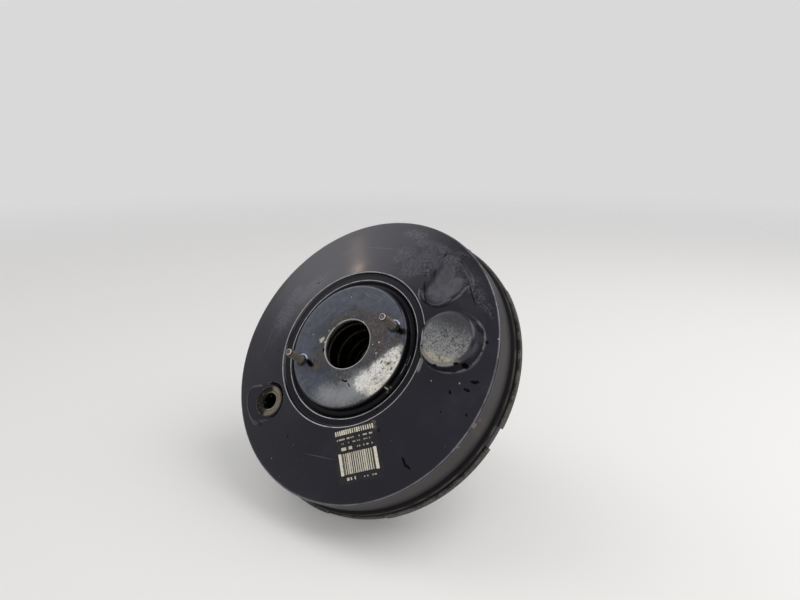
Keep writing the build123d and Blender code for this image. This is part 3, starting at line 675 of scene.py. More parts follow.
folds = lathe("dust_boot_folds", sheet_outline(fold_line, BT), n=160, sharp=60.0)
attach(folds, "housing")
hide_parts("dust_boot")
cuff = lathe("dust_boot_neck_cuff", closed_rounded([
    (31.85, 2.5), (33.2, 2.5, 0.5), (34.0, 3.2, 0.6), (34.0, 5.2, 0.6), (33.4, 5.9, 0.5), (33.4, 10.6, 0.5), (34.1, 11.4, 0.5), (34.1, 13.4, 0.7), (33.3, 15.2, 0.5), (31.85, 15.2)], 5), n=160, sharp=60.0)
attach(cuff, "housing")
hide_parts("dust_boot")
tail_cuff = lathe("dust_boot_tail_cuff", closed_rounded([
    (21.05, 65.4), (22.6, 65.4, 0.4), (23.4, 66.2, 0.5), (23.4, 67.4, 0.4), (22.7, 68.0, 0.4), (22.7, 69.6, 0.4), (23.3, 70.2, 0.4), (23.3, 71.2, 0.6), (22.4, 72.0, 0.5), (21.05, 72.0)], 5), n=120, sharp=60.0)
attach(tail_cuff, "power_piston")
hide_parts("dust_boot")

# =====================================================================================
# diaphragm: a bead in the rim, a rolling fold, and a web that lies on the plate
# =====================================================================================
dia = lathe("diaphragm_rubber", closed_rounded([
    (29.0, -24.0), (38.0, -24.0, 1.0), (46.5, -14.5, 1.0), (106.5, -16.2, 2.0), (116.5, -19.2, 2.0), (124.0, -28.5, 2.0), (127.5, -37.0), (128.2, -37.0), (129.4, -31.0, 1.0), (131.4, -31.0, 1.0),
    (131.4, -46.4, 0.5), (136.0, -46.4, 0.5), (136.6, -51.0, 0.6), (140.8, -51.0, 0.8), (140.8, -44.6, 0.8), (133.2, -44.6, 0.8), (133.2, -31.0, 1.6), (130.8, -28.2, 1.6), (126.4, -27.4, 1.2), (117.6, -17.6, 2.0), (107.0, -14.4, 2.0),
    (47.2, -12.6, 1.0), (46.0, -12.6, 0.6), (37.4, -21.6, 0.6), (35.0, -21.6, 0.5), (34.0, -18.2, 0.5), (29.0, -18.2)], 4), n=160, sharp=50.0)
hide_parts("diaphragm")

# =====================================================================================
# identification label: a thin printed film that follows the cone
# =====================================================================================
LX, LZ, LROT = -5.5, -98.9, math.radians(-2.9)
LW, LH, R_LABEL = 45.0, 46.0, 77.15


def build_label():
    nx, nz = 89, 93
    u = np.linspace(-LW / 2, LW / 2, nx)
    v = np.linspace(-LH / 2, LH / 2, nz)
    U, V = np.meshgrid(u, v)
    # rounded corners: pull the outermost points in
    rc = 1.5
    qx, qz = np.abs(U) - (LW / 2 - rc), np.abs(V) - (LH / 2 - rc)
    corner = (qx > 0) & (qz > 0)
    q = np.hypot(qx, qz)
    s = np.where(corner & (q > rc), rc / np.maximum(q, 1e-9), 1.0)
    U = np.where(corner, np.sign(U) * ((LW / 2 - rc) + qx * s), U)
    V = np.where(corner, np.sign(V) * ((LH / 2 - rc) + qz * s), V)
    # the upper edge follows the ring
    c, s = math.cos(LROT), math.sin(LROT)
    A, C = LX + U * c, LZ + U * s
    k = C * c - A * s
    top = np.minimum(-k - np.sqrt(np.maximum(k * k - (A * A + C * C - R_LABEL ** 2), 0)), LH / 2)
    V = -LH / 2 + (V + LH / 2) * (top + LH / 2) / LH
    X = LX + U * c - V * s
    Z = LZ + U * s + V * c
    lift = 0.14 + waves(X, Z, 5, (17, 9), (0.025, 0.015))
    # one corner has started to lift
    lift = lift + 0.10 * np.clip(1 - np.hypot(U - LW / 2, V - LH / 2) / 7.0, 0, 1) ** 2
    B = Build()
    H = h_field(X, Z)
    top = np.stack([X, -(H0 + H + lift), Z], -1)
    low = np.stack([X, -(H0 + H + 0.02), Z], -1)
    B.grid(top, wrap_cols=False)
    B.grid(low, wrap_cols=False, flip=True)
    for a in (np.stack([top[0], low[0]]), np.stack([top[-1], low[-1]]), np.stack([top[:, 0], low[:, 0]]), np.stack([top[:, -1], low[:, -1]])):
        B.grid(a, wrap_cols=False)
    return B.done("identification_label_film", sharp=60.0, weld=0.001)


label = build_label()
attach(label, "housing")
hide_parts("identification_label")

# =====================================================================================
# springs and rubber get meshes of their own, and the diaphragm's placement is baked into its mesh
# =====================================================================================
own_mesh(ret)
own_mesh(folds)
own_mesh(vrs)
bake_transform(dia)


# =====================================================================================
# materials: every one is worked out from the position on the part, in millimetres
# =====================================================================================
class Finish:
    """A surface built up in layers: a ground, then what lies over it, each with its own mask."""

    def __init__(self, name, color, rough, metal=0.0, **plain):
        self.mat = bpy.data.materials.new(name)
        self.mat.use_nodes = True
        self.nt = self.mat.node_tree
        self.nt.nodes.clear()
        self.out = self.nt.nodes.new("ShaderNodeOutputMaterial")
        self.bsdf = self.nt.nodes.new("ShaderNodeBsdfPrincipled")
        self.nt.links.new(self.bsdf.outputs[0], self.out.inputs[0])
        co = self.nt.nodes.new("ShaderNodeTexCoord")
        self.p = self.vec("SCALE", co.outputs["Object"], scale=1000.0)
        sep = self.nt.nodes.new("ShaderNodeSeparateXYZ")
        self.link(sep.inputs[0], self.p)
        self.x, self.y, self.z = sep.outputs
        self.color, self.rough, self.metal, self.height = color, rough, metal, None
        for key, value in plain.items():
            self.bsdf.inputs[key.replace("_", " ")].default_value = value

    def link(self, socket, value):
        if isinstance(value, bpy.types.NodeSocket):
            self.nt.links.new(socket, value)
        elif isinstance(value, (tuple, list)) and len(value) == 3 and len(getattr(socket, "default_value", (0, 0, 0))) == 4:
            socket.default_value = (*value, 1.0)
        else:
            socket.default_value = value

    def node(self, kind, outputs=0, **inputs):
        n = self.nt.nodes.new(kind)
        for key, value in inputs.items():
            self.link(n.inputs[key], value)
        return n

    def math(self, op, a, b=None, c=None, clamp=False):
        n = self.nt.nodes.new("ShaderNodeMath")
        n.operation, n.use_clamp = op, clamp
        for i, value in enumerate((a, b, c)):
            if value is not None:
                self.link(n.inputs[i], value)
        return n.outputs[0]

    def vec(self, op, a, b=None, scale=None):
        n = self.nt.nodes.new("ShaderNodeVectorMath")
        n.operation = op
        self.link(n.inputs[0], a)
        if b is not None:
            self.link(n.inputs[1], b)
        if scale is not None:
            n.inputs["Scale"].default_value = scale
        return n.outputs["Value"] if op in ("LENGTH", "DOT_PRODUCT", "DISTANCE") else n.outputs["Vector"]

    def add(self, a, b):
        return self.math("ADD", a, b)

    def sub(self, a, b):
        return self.math("SUBTRACT", a, b)

    def mul(self, *v):
        out = v[0]
        for w in v[1:]:
            out = self.math("MULTIPLY", out, w)
        return out

    def top(self, *v):
        out = v[0]
        for w in v[1:]:
            out = self.math("MAXIMUM", out, w)
        return out

    def step(self, value, lo, hi, a=0.0, b=1.0):
        """a below lo, b above hi, and a smooth change between. lo may be above hi, which turns it round."""
        n = self.nt.nodes.new("ShaderNodeMapRange")
        n.interpolation_type = "SMOOTHSTEP"
        n.clamp = True
        self.link(n.inputs["Value"], value)
        if lo > hi:
            lo, hi, a, b = hi, lo, b, a
        for key, w in (("From Min", lo), ("From Max", hi), ("To Min", a), ("To Max", b)):
            n.inputs[key].default_value = w
        return n.outputs["Result"]

    def near(self, value, at, half, soft):
        """1 within half of at, fading out over soft."""
        d = self.math("ABSOLUTE", self.sub(value, at))
        return self.step(d, half + soft, half)

    def noise(self, size, detail=3.0, rough=0.5, warp=0.0, seed=0.0, stretch=None, at=None, kind="FBM"):
        """Noise whose largest features are about size millimetres."""
        at = self.p if at is None else at
        if stretch:
            at = self.vec("MULTIPLY", at, stretch)
        if seed:
            at = self.vec("ADD", at, (seed * 17.3, seed * -9.1, seed * 5.7))
        n = self.nt.nodes.new("ShaderNodeTexNoise")
        n.noise_dimensions = "3D"
        n.noise_type = kind
        self.link(n.inputs["Vector"], at)
        for key, w in (("Scale", 1.0 / size), ("Detail", detail), ("Roughness", rough), ("Distortion", warp)):
            n.inputs[key].default_value = w
        return n.outputs["Fac"]

    def rings(self, value):
        """Noise along one number only."""
        n = self.nt.nodes.new("ShaderNodeTexNoise")
        n.noise_dimensions = "1D"
        self.link(n.inputs["W"], value)
        for key, w in (("Scale", 1.0), ("Detail", 2.0), ("Roughness", 0.5)):
            n.inputs[key].default_value = w
        return n.outputs["Fac"]

    def cells(self, size, seed=0.0, feature="F1", at=None, random=1.0):
        at = self.p if at is None else at
        if seed:
            at = self.vec("ADD", at, (seed * 11.3, seed * 7.7, seed * -6.1))
        n = self.nt.nodes.new("ShaderNodeTexVoronoi")
        n.feature = feature
        self.link(n.inputs["Vector"], at)
        n.inputs["Scale"].default_value = 1.0 / size
        n.inputs["Randomness"].default_value = random
        return n.outputs["Distance"]

    def spots(self, size, radius, seed=0.0, share=1.0):
        """Round specks about radius mm, one in each cell of size mm, and only share of the cells has one."""
        at = self.vec("ADD", self.p, (seed * 11.3, seed * 7.7, seed * -6.1))
        n = self.nt.nodes.new("ShaderNodeTexVoronoi")
        self.link(n.inputs["Vector"], at)
        n.inputs["Scale"].default_value = 1.0 / size
        sep = self.nt.nodes.new("ShaderNodeSeparateColor")
        self.link(sep.inputs[0], n.outputs["Color"])
        here = self.step(sep.outputs[0], share, share - 0.02)
        limit = self.mul(sep.outputs[1], radius / size)
        return self.mul(self.math("LESS_THAN", n.outputs["Distance"], limit), here)

    def polar(self):
        if not hasattr(self, "_r"):
            flat = self.vec("MULTIPLY", self.p, (1, 0, 1))
            self._r = self.vec("LENGTH", flat)
            self._a = self.mul(self.math("ARCTAN2", self.z, self.x), 180 / math.pi)
        return self._r, self._a

    def reach(self, ellipses):
        """Distance in front view from the nearest of some (cx, cz, rx, rz, degrees) ellipses: 0 at its middle, 1 on its edge."""
        g = bpy.data.node_groups.new("ellipses", "ShaderNodeTree")
        for name in ("X", "Z"):
            g.interface.new_socket(name, in_out="INPUT", socket_type="NodeSocketFloat")
        g.interface.new_socket("Reach", in_out="OUTPUT", socket_type="NodeSocketFloat")
        come, go = g.nodes.new("NodeGroupInput"), g.nodes.new("NodeGroupOutput")

        def calc(op, *values):
            n = g.nodes.new("ShaderNodeMath")
            n.operation = op
            for k, w in enumerate(values):
                if isinstance(w, bpy.types.NodeSocket):
                    g.links.new(n.inputs[k], w)
                else:
                    n.inputs[k].default_value = w
            return n.outputs[0]

        out = None
        for cx, cz, rx, rz, deg in ellipses:
            c, t = math.cos(math.radians(deg)), math.sin(math.radians(deg))
            x, z = come.outputs[0], come.outputs[1]
            u = calc("MULTIPLY_ADD", x, c / rx, calc("MULTIPLY_ADD", z, t / rx, -(cx * c + cz * t) / rx))
            v = calc("MULTIPLY_ADD", x, -t / rz, calc("MULTIPLY_ADD", z, c / rz, (cx * t - cz * c) / rz))
            d = calc("MULTIPLY_ADD", u, u, calc("MULTIPLY", v, v))
            out = d if out is None else calc("MINIMUM", out, d)
        g.links.new(go.inputs[0], calc("SQRT", out))
        node = self.nt.nodes.new("ShaderNodeGroup")
        node.node_tree = g
        self.link(node.inputs[0], self.x)
        self.link(node.inputs[1], self.z)
        return node.outputs[0]

    def blobs(self, ellipses, soft=0.35, wob=None, amp=0.0):
        """A mask over some ellipses, their edges made uneven by wob."""
        d, k = self.reach(ellipses), 0.0
        if wob is not None:
            d, k = self.math("MULTIPLY_ADD", wob, amp, d), 0.5 * amp
        return self.step(d, 1 + soft + k, 1 - soft + k)

    def blob(self, cx, cz, rx, rz, deg=0.0, soft=0.35, wob=None, amp=0.0):
        return self.blobs([(cx, cz, rx, rz, deg)], soft, wob, amp)

    def hills(self, *ellipses):
        """1 at the middle of an ellipse, 0 at its edge, falling on outside it."""
        return self.sub(1.0, self.reach([(*e, 0.0)[:5] for e in ellipses]))

    def break_up(self, field, grain, amount, lo=0.10, hi=0.28):
        """A field of hills turned into a patch that is solid in its middle and breaks up towards its edge."""
        return self.step(self.math("MULTIPLY_ADD", grain, amount, field), lo + amount * 0.5, hi + amount * 0.5)

    def stroke(self, points, width, soft=0.5, grain=None, amp=0.0):
        """A thin line through the points, in front view."""
        return self.blobs([
            ((ax + bx) / 2, (az + bz) / 2, math.hypot(bx - ax, bz - az) * 0.58 + width, width, math.degrees(math.atan2(bz - az, bx - ax)))
            for (ax, az), (bx, bz) in zip(points, points[1:])], soft, grain, amp)

    def mix(self, mask, a, b):
        n = self.nt.nodes.new("ShaderNodeMix")
        n.data_type = "RGBA"
        self.link(n.inputs["Factor"], mask)
        self.link(n.inputs[6], a)
        self.link(n.inputs[7], b)
        return n.outputs[2]

    def blend(self, mask, a, b):
        n = self.nt.nodes.new("ShaderNodeMix")
        n.data_type = "FLOAT"
        self.link(n.inputs["Factor"], mask)
        self.link(n.inputs[2], a)
        self.link(n.inputs[3], b)
        return n.outputs[0]

    def over(self, mask, color=None, rough=None, metal=None):
        if color is not None:
            self.color = self.mix(mask, self.color, color)
        if rough is not None:
            self.rough = self.blend(mask, self.rough, rough)
        if metal is not None:
            self.metal = self.blend(mask, self.metal, metal)
        return mask

    def raise_by(self, value, amount):
        v = self.mul(value, amount)
        self.height = v if self.height is None else self.add(self.height, v)

    def edges(self, radius=0.5, lo=0.02, hi=0.14):
        """Where the surface turns within radius mm, inner or outer."""
        b = self.nt.nodes.new("ShaderNodeBevel")
        b.samples = 6
        b.inputs["Radius"].default_value = radius * MM
        g = self.nt.nodes.new("ShaderNodeNewGeometry")
        d = self.vec("DISTANCE", b.outputs["Normal"], g.outputs["Normal"])
        return self.step(d, lo, hi)

    def done(self, strength=1.0):
        self.link(self.bsdf.inputs["Base Color"], self.color)
        self.link(self.bsdf.inputs["Roughness"], self.rough)
        self.link(self.bsdf.inputs["Metallic"], self.metal)
        if self.height is not None:
            b = self.nt.nodes.new("ShaderNodeBump")
            b.inputs["Distance"].default_value = MM
            b.inputs["Strength"].default_value = strength
            self.link(b.inputs["Height"], self.height)
            self.link(self.bsdf.inputs["Normal"], b.outputs["Normal"])
        return self.mat


def wear(piece, mat):
    for o in piece if isinstance(piece, (list, tuple)) else [piece]:
        o = NODES[o] if isinstance(o, str) else o
        o.data.materials.clear()
        o.data.materials.append(mat)


# ---------------------------------------------------------------- black paint of the front shell
def shell_paint():
    m = Finish("front_shell_paint", (0.0095, 0.0090, 0.0140), 0.24, Specular_Tint=(0.95, 0.91, 1.0, 1.0))
    r, a = m.polar()
    h = m.sub(m.mul(m.y, -1.0), H0)
    broad, mid, fine, grit = m.noise(60, 3, 0.5, seed=1), m.noise(14, 4, 0.55, 0.4, seed=2), m.noise(3.2, 5, 0.62, seed=3), m.noise(0.9, 3, 0.6, seed=4)
    lumps, specky = m.noise(7, 6, 0.68, 0.5, seed=11), m.noise(1.7, 5, 0.74, seed=12)
    face = m.step(h, -4.0, -1.0)
    # paint: blue-black, a little uneven in depth and gloss
    m.over(m.step(broad, 0.35, 0.7), (0.0135, 0.0130, 0.0205))
    m.rough = m.add(0.13, m.mul(mid, 0.13))
    m.raise_by(m.noise(2.4, 2, 0.4, seed=8), 0.008)
    # thin dry film of dust, thicker where the broad noise is high
    film = m.mul(m.step(mid, 0.42, 0.78), m.step(broad, 0.40, 0.72))
    m.over(m.mul(film, 0.16), (0.070, 0.073, 0.088), 0.40)
    # side wall: rubbed, browner and flatter, darker towards the groove
    wall = m.step(h, -1.2, -3.5)
    m.over(wall, (0.0200, 0.0168, 0.0145), 0.40, 0.30)
    streaks = m.noise(5, 5, 0.66, 0.3, seed=5, stretch=(1, 0.16, 1))
    m.over(m.mul(wall, m.step(streaks, 0.42, 0.72), 0.6), (0.048, 0.039, 0.031), 0.5)
    m.over(m.mul(wall, m.step(m.noise(3.0, 5, 0.7, seed=9), 0.60, 0.70), 0.35), (0.075, 0.069, 0.060), 0.6)
    m.over(m.mul(wall, m.step(h, -15, -25), 0.75), (0.008, 0.0075, 0.007), 0.45, 0.5)
    band = m.step(h, -26.2, -27.2)
    m.over(band, (0.0085, 0.0085, 0.0085), 0.5, 0.6)
    m.over(m.mul(band, m.near(h, -30.6, 0.6, 0.5), m.step(mid, 0.35, 0.6), 0.5), (0.10, 0.095, 0.085), 0.45, 0.2)
    # the corner of the shell: a thin bright line, partly paint rubbed thin and partly painted highlight
    m.over(m.mul(m.near(h, 0.05, 0.22, 0.35), m.step(r, 137.4, 138.4), m.blend(m.step(mid, 0.3, 0.6), 0.15, 0.50)), (0.26, 0.26, 0.265), 0.34, 0.2)
    # the two rings: the band between them and their crests
    broken = m.step(m.noise(9, 3, 0.6, seed=6), 0.25, 0.55)
    # painted shade: the band between the rings made near black, with its reflection damped
    m.over(m.mul(m.near(r, 71.4, 2.4, 0.8), face, 0.6), (0.0060, 0.0062, 0.0070), 0.28, 0.7)
    # the crests: thin bright lines, partly paint rubbed to bare metal and partly painted highlight
    m.over(m.mul(m.near(r, 76.15, 0.26, 0.32), m.blend(broken, 0.45, 1.0), face), (0.50, 0.50, 0.50), 0.34, 0.5)
    m.over(m.mul(m.near(r, 68.15, 0.24, 0.30), m.blend(broken, 0.45, 1.0), face), (0.55, 0.55, 0.56), 0.34, 0.5)
    # painted highlight on the fillet where the bulge's foot meets the outer ring
    m.over(m.mul(m.near(r, 78.0, 0.9, 0.9), m.near(a, -31, 4.0, 3.0), face, 0.8), (0.22, 0.215, 0.20), 0.4)
    # painted shade in the trough between the rings and on the plateau's wall: near black, with its reflection damped
    m.over(m.mul(m.near(r, 63.4, 2.6, 1.4), 0.9), (0.0062, 0.0062, 0.0070), 0.36, 0.75)
    # the plateau is wiped and bluer, with a painted bluish sheen towards its edge and fine round scuffs left by the
    # flange that sat on it
    plateau = m.mul(m.step(r, 59.4, 57.6), face)
    m.over(plateau, (0.042, 0.047, 0.059), 0.26)
    # painted sheen: bluish and lighter towards the plateau's edge
    blue = m.add(m.mul(m.step(r, 24, 44), 0.55), m.mul(m.sub(lumps, 0.5), 1.5))
    m.over(m.mul(plateau, m.step(blue, 0.10, 0.75)), (0.082, 0.094, 0.124), 0.24)
    m.over(m.mul(plateau, m.step(m.add(m.mul(m.sub(mid, 0.5), 2.0), m.mul(m.sub(fine, 0.5), 0.9)), 0.10, 0.55), 0.6), (0.125, 0.138, 0.172), 0.30)
    m.over(m.mul(plateau, m.step(m.noise(5, 6, 0.75, 0.8, seed=13), 0.56, 0.66), 0.55), (0.028, 0.029, 0.034), 0.22)
    arcs = m.rings(m.add(m.mul(r, 1.6), m.mul(mid, 2.5)))
    m.over(m.mul(plateau, m.step(arcs, 0.56, 0.72), m.step(mid, 0.4, 0.7), 0.45), (0.15, 0.15, 0.165), 0.40)
    # painted highlight along the plateau's edge, broken up
    m.over(m.mul(plateau, m.near(r, 58.0, 0.25, 0.5), m.blend(broken, 0.0, 0.35)), (0.20, 0.21, 0.23), 0.34)
    # dust on the cone, dry and mottled, in drifts with ragged edges
    dull = m.break_up(m.hills((88, 56, 40, 34, -35), (118, 20, 18, 40, 10)), lumps, 0.6, 0.0, 0.4)
    m.over(m.mul(dull, m.step(r, 76.8, 80), face, 0.9), (0.0145, 0.0138, 0.0195), 0.40)
    drift = m.hills((-44, 80, 27, 11, 22), (-62, 84, 15, 9, 30), (-74, 64, 14, 20, -30))
    dust = m.mul(m.break_up(drift, lumps, 1.5, -0.35, 0.75), m.step(specky, 0.33, 0.60), 0.40)
    drift2 = m.hills((86, 64, 18, 13, -30), (72, 60, 15, 14, 0), (77, 101, 15, 6, -38), (100, 72, 13, 6, -42), (88, 82, 16, 6, -40), (66, 78, 14, 10, 0))
    dust2 = m.mul(m.break_up(drift2, lumps, 2.0, -0.25, 0.55), m.step(specky, 0.36, 0.62), 0.34)
    dust = m.mul(m.top(dust, dust2), m.step(r, 76.8, 79.5))
    m.over(dust, (0.20, 0.215, 0.260), 0.60)
    m.over(m.mul(m.step(drift2, -0.5, 0.2), m.step(m.noise(3.0, 6, 0.75, 0.8, seed=29), 0.54, 0.62), m.step(r, 76.8, 79.5), 0.8), (0.006, 0.006, 0.007), 0.30)
    # round the big pad: a wiped floor, and mottled dark dirt towards the shoulder
    dirt = m.hills((114, 40, 9, 11, 30), (122, 26, 10, 15, 10), (127, 8, 8, 13, 5), (131, -5, 5, 12, 8), (117, 58, 10, 6, -40), (84, 50, 7, 12, -20))
    dm = m.break_up(dirt, lumps, 1.6, 0.05, 0.5)
    m.over(m.mul(dm, m.step(specky, 0.44, 0.58), 0.62), (0.095, 0.096, 0.100), 0.6)
    m.over(m.mul(dm, m.step(m.noise(2.6, 6, 0.75, 0.8, seed=19), 0.52, 0.58), 0.9), (0.0070, 0.0070, 0.0075), 0.3, 0.8)
    lobe = m.step(m.add(m.hills((94.5, 25.5, 15.5, 13.2), (104, 25, 15, 9.5, 12), (101, 37, 10, 15, -35), (108.5, 51, 8.5, 10, -30)), m.mul(m.sub(lumps, 0.5), 0.35)), -0.02, 0.30)
    m.over(m.mul(lobe, m.step(m.z, 70, 20), m.blend(m.step(lumps, 0.38, 0.62), 0.45, 0.90)), (0.108, 0.105, 0.122), 0.36)
    m.over(m.mul(lobe, m.step(specky, 0.40, 0.62), 0.40), (0.092, 0.091, 0.104), 0.44)
    m.over(m.mul(lobe, m.step(m.z, 36, 50), m.step(specky, 0.40, 0.62), 0.6), (0.105, 0.108, 0.118), 0.6)
    wob = m.noise(2.2, 4, 0.6, seed=18)
    # painted shadow: dark lines along the pad's inner edges, where it steps down into the cone
    m.over(m.mul(m.stroke([(105.5, 65.9), (100.7, 58.3), (94.3, 50.3), (89.6, 41.0)], 0.55, 0.5, wob, 1.2), 0.95), (0.0045, 0.0045, 0.0050), 0.3, 0.9)
    m.over(m.mul(m.stroke([(81.0, 37.0), (77.6, 29.0), (78.6, 19.1), (82.9, 11.6), (90.5, 7.9), (98.0, 8.2)], 0.7, 0.6, wob, 1.6), 0.85), (0.0050, 0.0050, 0.0055), 0.3, 0.9)
    # painted highlight on the pad's lower right edge
    m.over(m.mul(m.stroke([(104.3, 11.9), (112.0, 15.2), (119.2, 19.6)], 0.9, 0.7), 0.8), (0.135, 0.137, 0.145), 0.36)
    m.over(m.mul(m.stroke([(122.0, 27.5), (120.4, 14.0), (121.5, 4.0)], 0.6, 0.6, wob, 1.8), 0.8), (0.0045, 0.0045, 0.0050), 0.3, 0.9)
    # top of the vacuum bulge: pale and worn on its left and lower side, with fine dark scratches, darker above
    q = m.vec("LENGTH", m.vec("MULTIPLY", m.vec("SUBTRACT", m.p, (BX, 0, BZ)), (1, 0, 1)))
    cap = m.mul(m.step(q, 23.8, 21.4), m.step(h, 16.8, 18.8))
    side = m.add(m.mul(m.sub(m.x, BX), -0.62), m.mul(m.sub(m.z, BZ), -0.78))
    m.over(m.mul(cap, 0.85), (0.052, 0.053, 0.060), 0.38)
    pale = m.step(m.add(side, m.mul(m.sub(lumps, 0.5), 22)), -17.0, 4.0)
    m.over(m.mul(cap, pale, m.step(specky, 0.34, 0.56), 0.85), (0.330, 0.338, 0.336), 0.55)
    m.over(m.mul(cap, m.step(m.add(side, m.mul(m.sub(lumps, 0.5), 24)), 0.0, 12.0), m.step(specky, 0.34, 0.56), 0.85), (0.30, 0.30, 0.285), 0.6)
    m.over(m.mul(cap, m.step(m.add(side, m.mul(m.sub(mid, 0.5), 12)), 13.0, 19.0), m.step(fine, 0.34, 0.55), 0.9), (0.50, 0.45, 0.33), 0.6)
    flecks = m.step(m.noise(2.2, 5, 0.78, 1.6, seed=14, stretch=(1.0, 1.0, 0.6)), 0.530, 0.575)
    m.over(m.mul(cap, m.step(m.noise(6, 5, 0.7, 1.0, seed=36), 0.52, 0.64), 0.6), (0.075, 0.078, 0.082), 0.45)
    m.over(m.mul(cap, flecks, m.step(m.noise(9, 3, 0.5, seed=20), 0.34, 0.54), 0.95), (0.018, 0.018, 0.018), 0.4)
    m.over(m.mul(cap, m.stroke([(97, -35), (101, -31), (107, -30), (111, -26)], 0.4, 0.6, wob, 2.0), 0.8), (0.02, 0.02, 0.02), 0.4)
    # painted highlight: a pale line round the bulge's foot on its right and lower side
    foot = m.mul(m.near(q, 27.9, 0.25, 0.30), m.step(h, 13.0, 10.0), m.step(m.noise(6, 3, 0.6, seed=24), 0.40, 0.52))
    m.over(m.mul(foot, m.top(m.step(m.sub(m.x, BX), 14, 18), m.step(m.sub(m.z, BZ), -20, -24)), 0.8), (0.135, 0.130, 0.105), 0.45)
    m.over(m.mul(m.near(q, 24.2, 0.7, 0.8), m.step(side, 12.0, 20.0), m.step(h, 13, 16), 0.75), (0.33, 0.32, 0.29), 0.45)
    # plateau: paint gone dry and white at the lower right
    white = m.hills((43, -27, 14, 7.5, 28), (29, -35, 16, 10.5, 33), (15, -42, 15, 12.5, 10), (46, -34, 10, 7, 50), (37, -42, 12, 8, 42), (24, -50, 14, 9, 25))
    chalk = m.noise(2.0, 6, 0.76, 0.4, seed=15)
    rim_in = m.mul(m.step(r, 60.0, 58.9), face)
    tail = m.hills((-4, -48, 32, 14, 4), (6, -42, 24, 14, 0), (-22, -44, 20, 12, -25))
    # painted highlight: the plateau made paler towards its bottom, broken up like chalk and running into the white
    # patch
    m.over(m.mul(m.break_up(tail, chalk, 1.7, -0.20, 0.85), rim_in, 0.75), (0.340, 0.345, 0.350), 0.42)
    m.over(m.mul(m.step(tail, 0.1, 0.6), m.step(m.noise(1.3, 5, 0.75, 0.6, seed=41), 0.56, 0.63), rim_in, 0.6), (0.060, 0.056, 0.052), 0.45)
    m.over(m.mul(m.break_up(white, chalk, 1.3, -0.30, 0.45), rim_in, 0.70), (0.30, 0.295, 0.28), 0.48)
    m.over(m.mul(m.break_up(white, chalk, 1.9, 0.12, 0.55), rim_in, 0.92), (0.56, 0.55, 0.52), 0.50)
    m.over(m.mul(m.break_up(white, m.noise(4.5, 5, 0.7, 0.5, seed=30), 1.6, 0.12, 0.62), rim_in, m.step(chalk, 0.32, 0.52)), (0.88, 0.865, 0.83), 0.50)
    tan = m.noise(3.4, 5, 0.7, 0.6, seed=16)
    m.over(m.mul(m.step(white, 0.0, 0.3), m.step(m.noise(6.5, 4, 0.65, 0.6, seed=43), 0.46, 0.60), m.step(r, 44, 53), rim_in, 0.65), (0.62, 0.545, 0.405), 0.55)
    m.over(m.mul(m.step(white, 0.05, 0.4), m.step(tan, 0.52, 0.61), rim_in, m.step(m.x, 10, 24), 0.78), (0.25, 0.200, 0.145), 0.55)
    m.over(m.mul(m.step(white, 0.0, 0.3), m.step(m.noise(1.5, 5, 0.75, 0.6, seed=17), 0.60, 0.65), rim_in, 0.9), (0.030, 0.026, 0.022), 0.45)
    m.over(m.mul(m.blobs(((38.6, -33.3, 1.6, 0.8, 30), (33.2, -36.3, 1.2, 0.7, 50), (41.1, -39.0, 1.4, 0.9, 60), (24.1, -42.9, 1.3, 0.5, 20), (18.5, -33.1, 1.2, 0.5, -20), (32.4, -29.6, 1.8, 0.7, 40)), 0.3, fine, 2.2), 0.9), (0.040, 0.030, 0.022), 0.45)
    # brown dirt between the hole and the studs
    brown = m.hills((34, -2, 15, 16, 15), (28, 15, 11, 8, -15), (27, -19, 17, 8.5, 30), (42, 8, 8, 12, 0), (47, -14, 11, 7, 30))
    brown2 = m.hills((-31, -5, 9, 11, 0), (-34, -11, 10, 7, 0), (4, 28, 24, 4.6, 0), (-6, -30, 14, 5, -10))
    bm_ = m.mul(m.break_up(m.top(brown, brown2), lumps, 1.6, -0.05, 0.45), plateau)
    m.over(m.mul(bm_, m.step(white, 0.35, 0.05), 0.80), (0.046, 0.039, 0.035), 0.45)
    m.over(m.mul(bm_, m.step(specky, 0.50, 0.60), m.step(white, 0.25, 0.0), 0.8), (0.165, 0.147, 0.132), 0.55)
    m.over(m.mul(bm_, m.step(m.noise(1.5, 5, 0.76, 0.6, seed=42), 0.57, 0.63), m.step(white, 0.30, 0.0), 0.85), (0.014, 0.012, 0.011), 0.5)
    rust = m.blobs(((34.7, -10.7, 2.4, 1.5, 20), (31.0, -2.4, 1.2, 1.0, 0), (30.3, 9.6, 1.6, 1.1, 0), (-33.5, -12, 1.6, 1.0, 0), (-34, -3, 1.0, 0.8, 0), (36.5, 2.5, 1.0, 0.8, 0)), 0.35, fine, 2.0)
    m.over(m.mul(rust, 0.85), (0.150, 0.070, 0.038), 0.6)
    # painted pale blue sheen round the studs' feet
    stud_foot_sheen = m.mul(m.break_up(m.hills((-46, 1, 9.5, 9.5), (-52, 1, 8, 6), (46, -4, 8, 7), (54, 2, 6, 7)), lumps, 1.8, 0.15, 0.55), plateau)
    m.over(m.mul(stud_foot_sheen, 0.75), (0.105, 0.118, 0.148), 0.28)
    # painted reflection: dark smears of the studs mirrored in the plateau, below and right of their feet
    m.over(m.mul(m.blobs(((-41.6, -5.6, 2.3, 5.6, 38), (53.0, -5.2, 4.2, 2.6, -35), (57.2, -8.2, 4.5, 3.0, -15)), 0.35, wob, 1.2), 0.95), (0.0060, 0.0054, 0.0050), 0.25, 0.85)
    # the hole's rim, bare
    m.over(m.mul(m.near(r, 24.2, 0.45, 0.25), face, m.blend(broken, 0.6, 1.0)), (0.48, 0.46, 0.42), 0.36, 0.4)
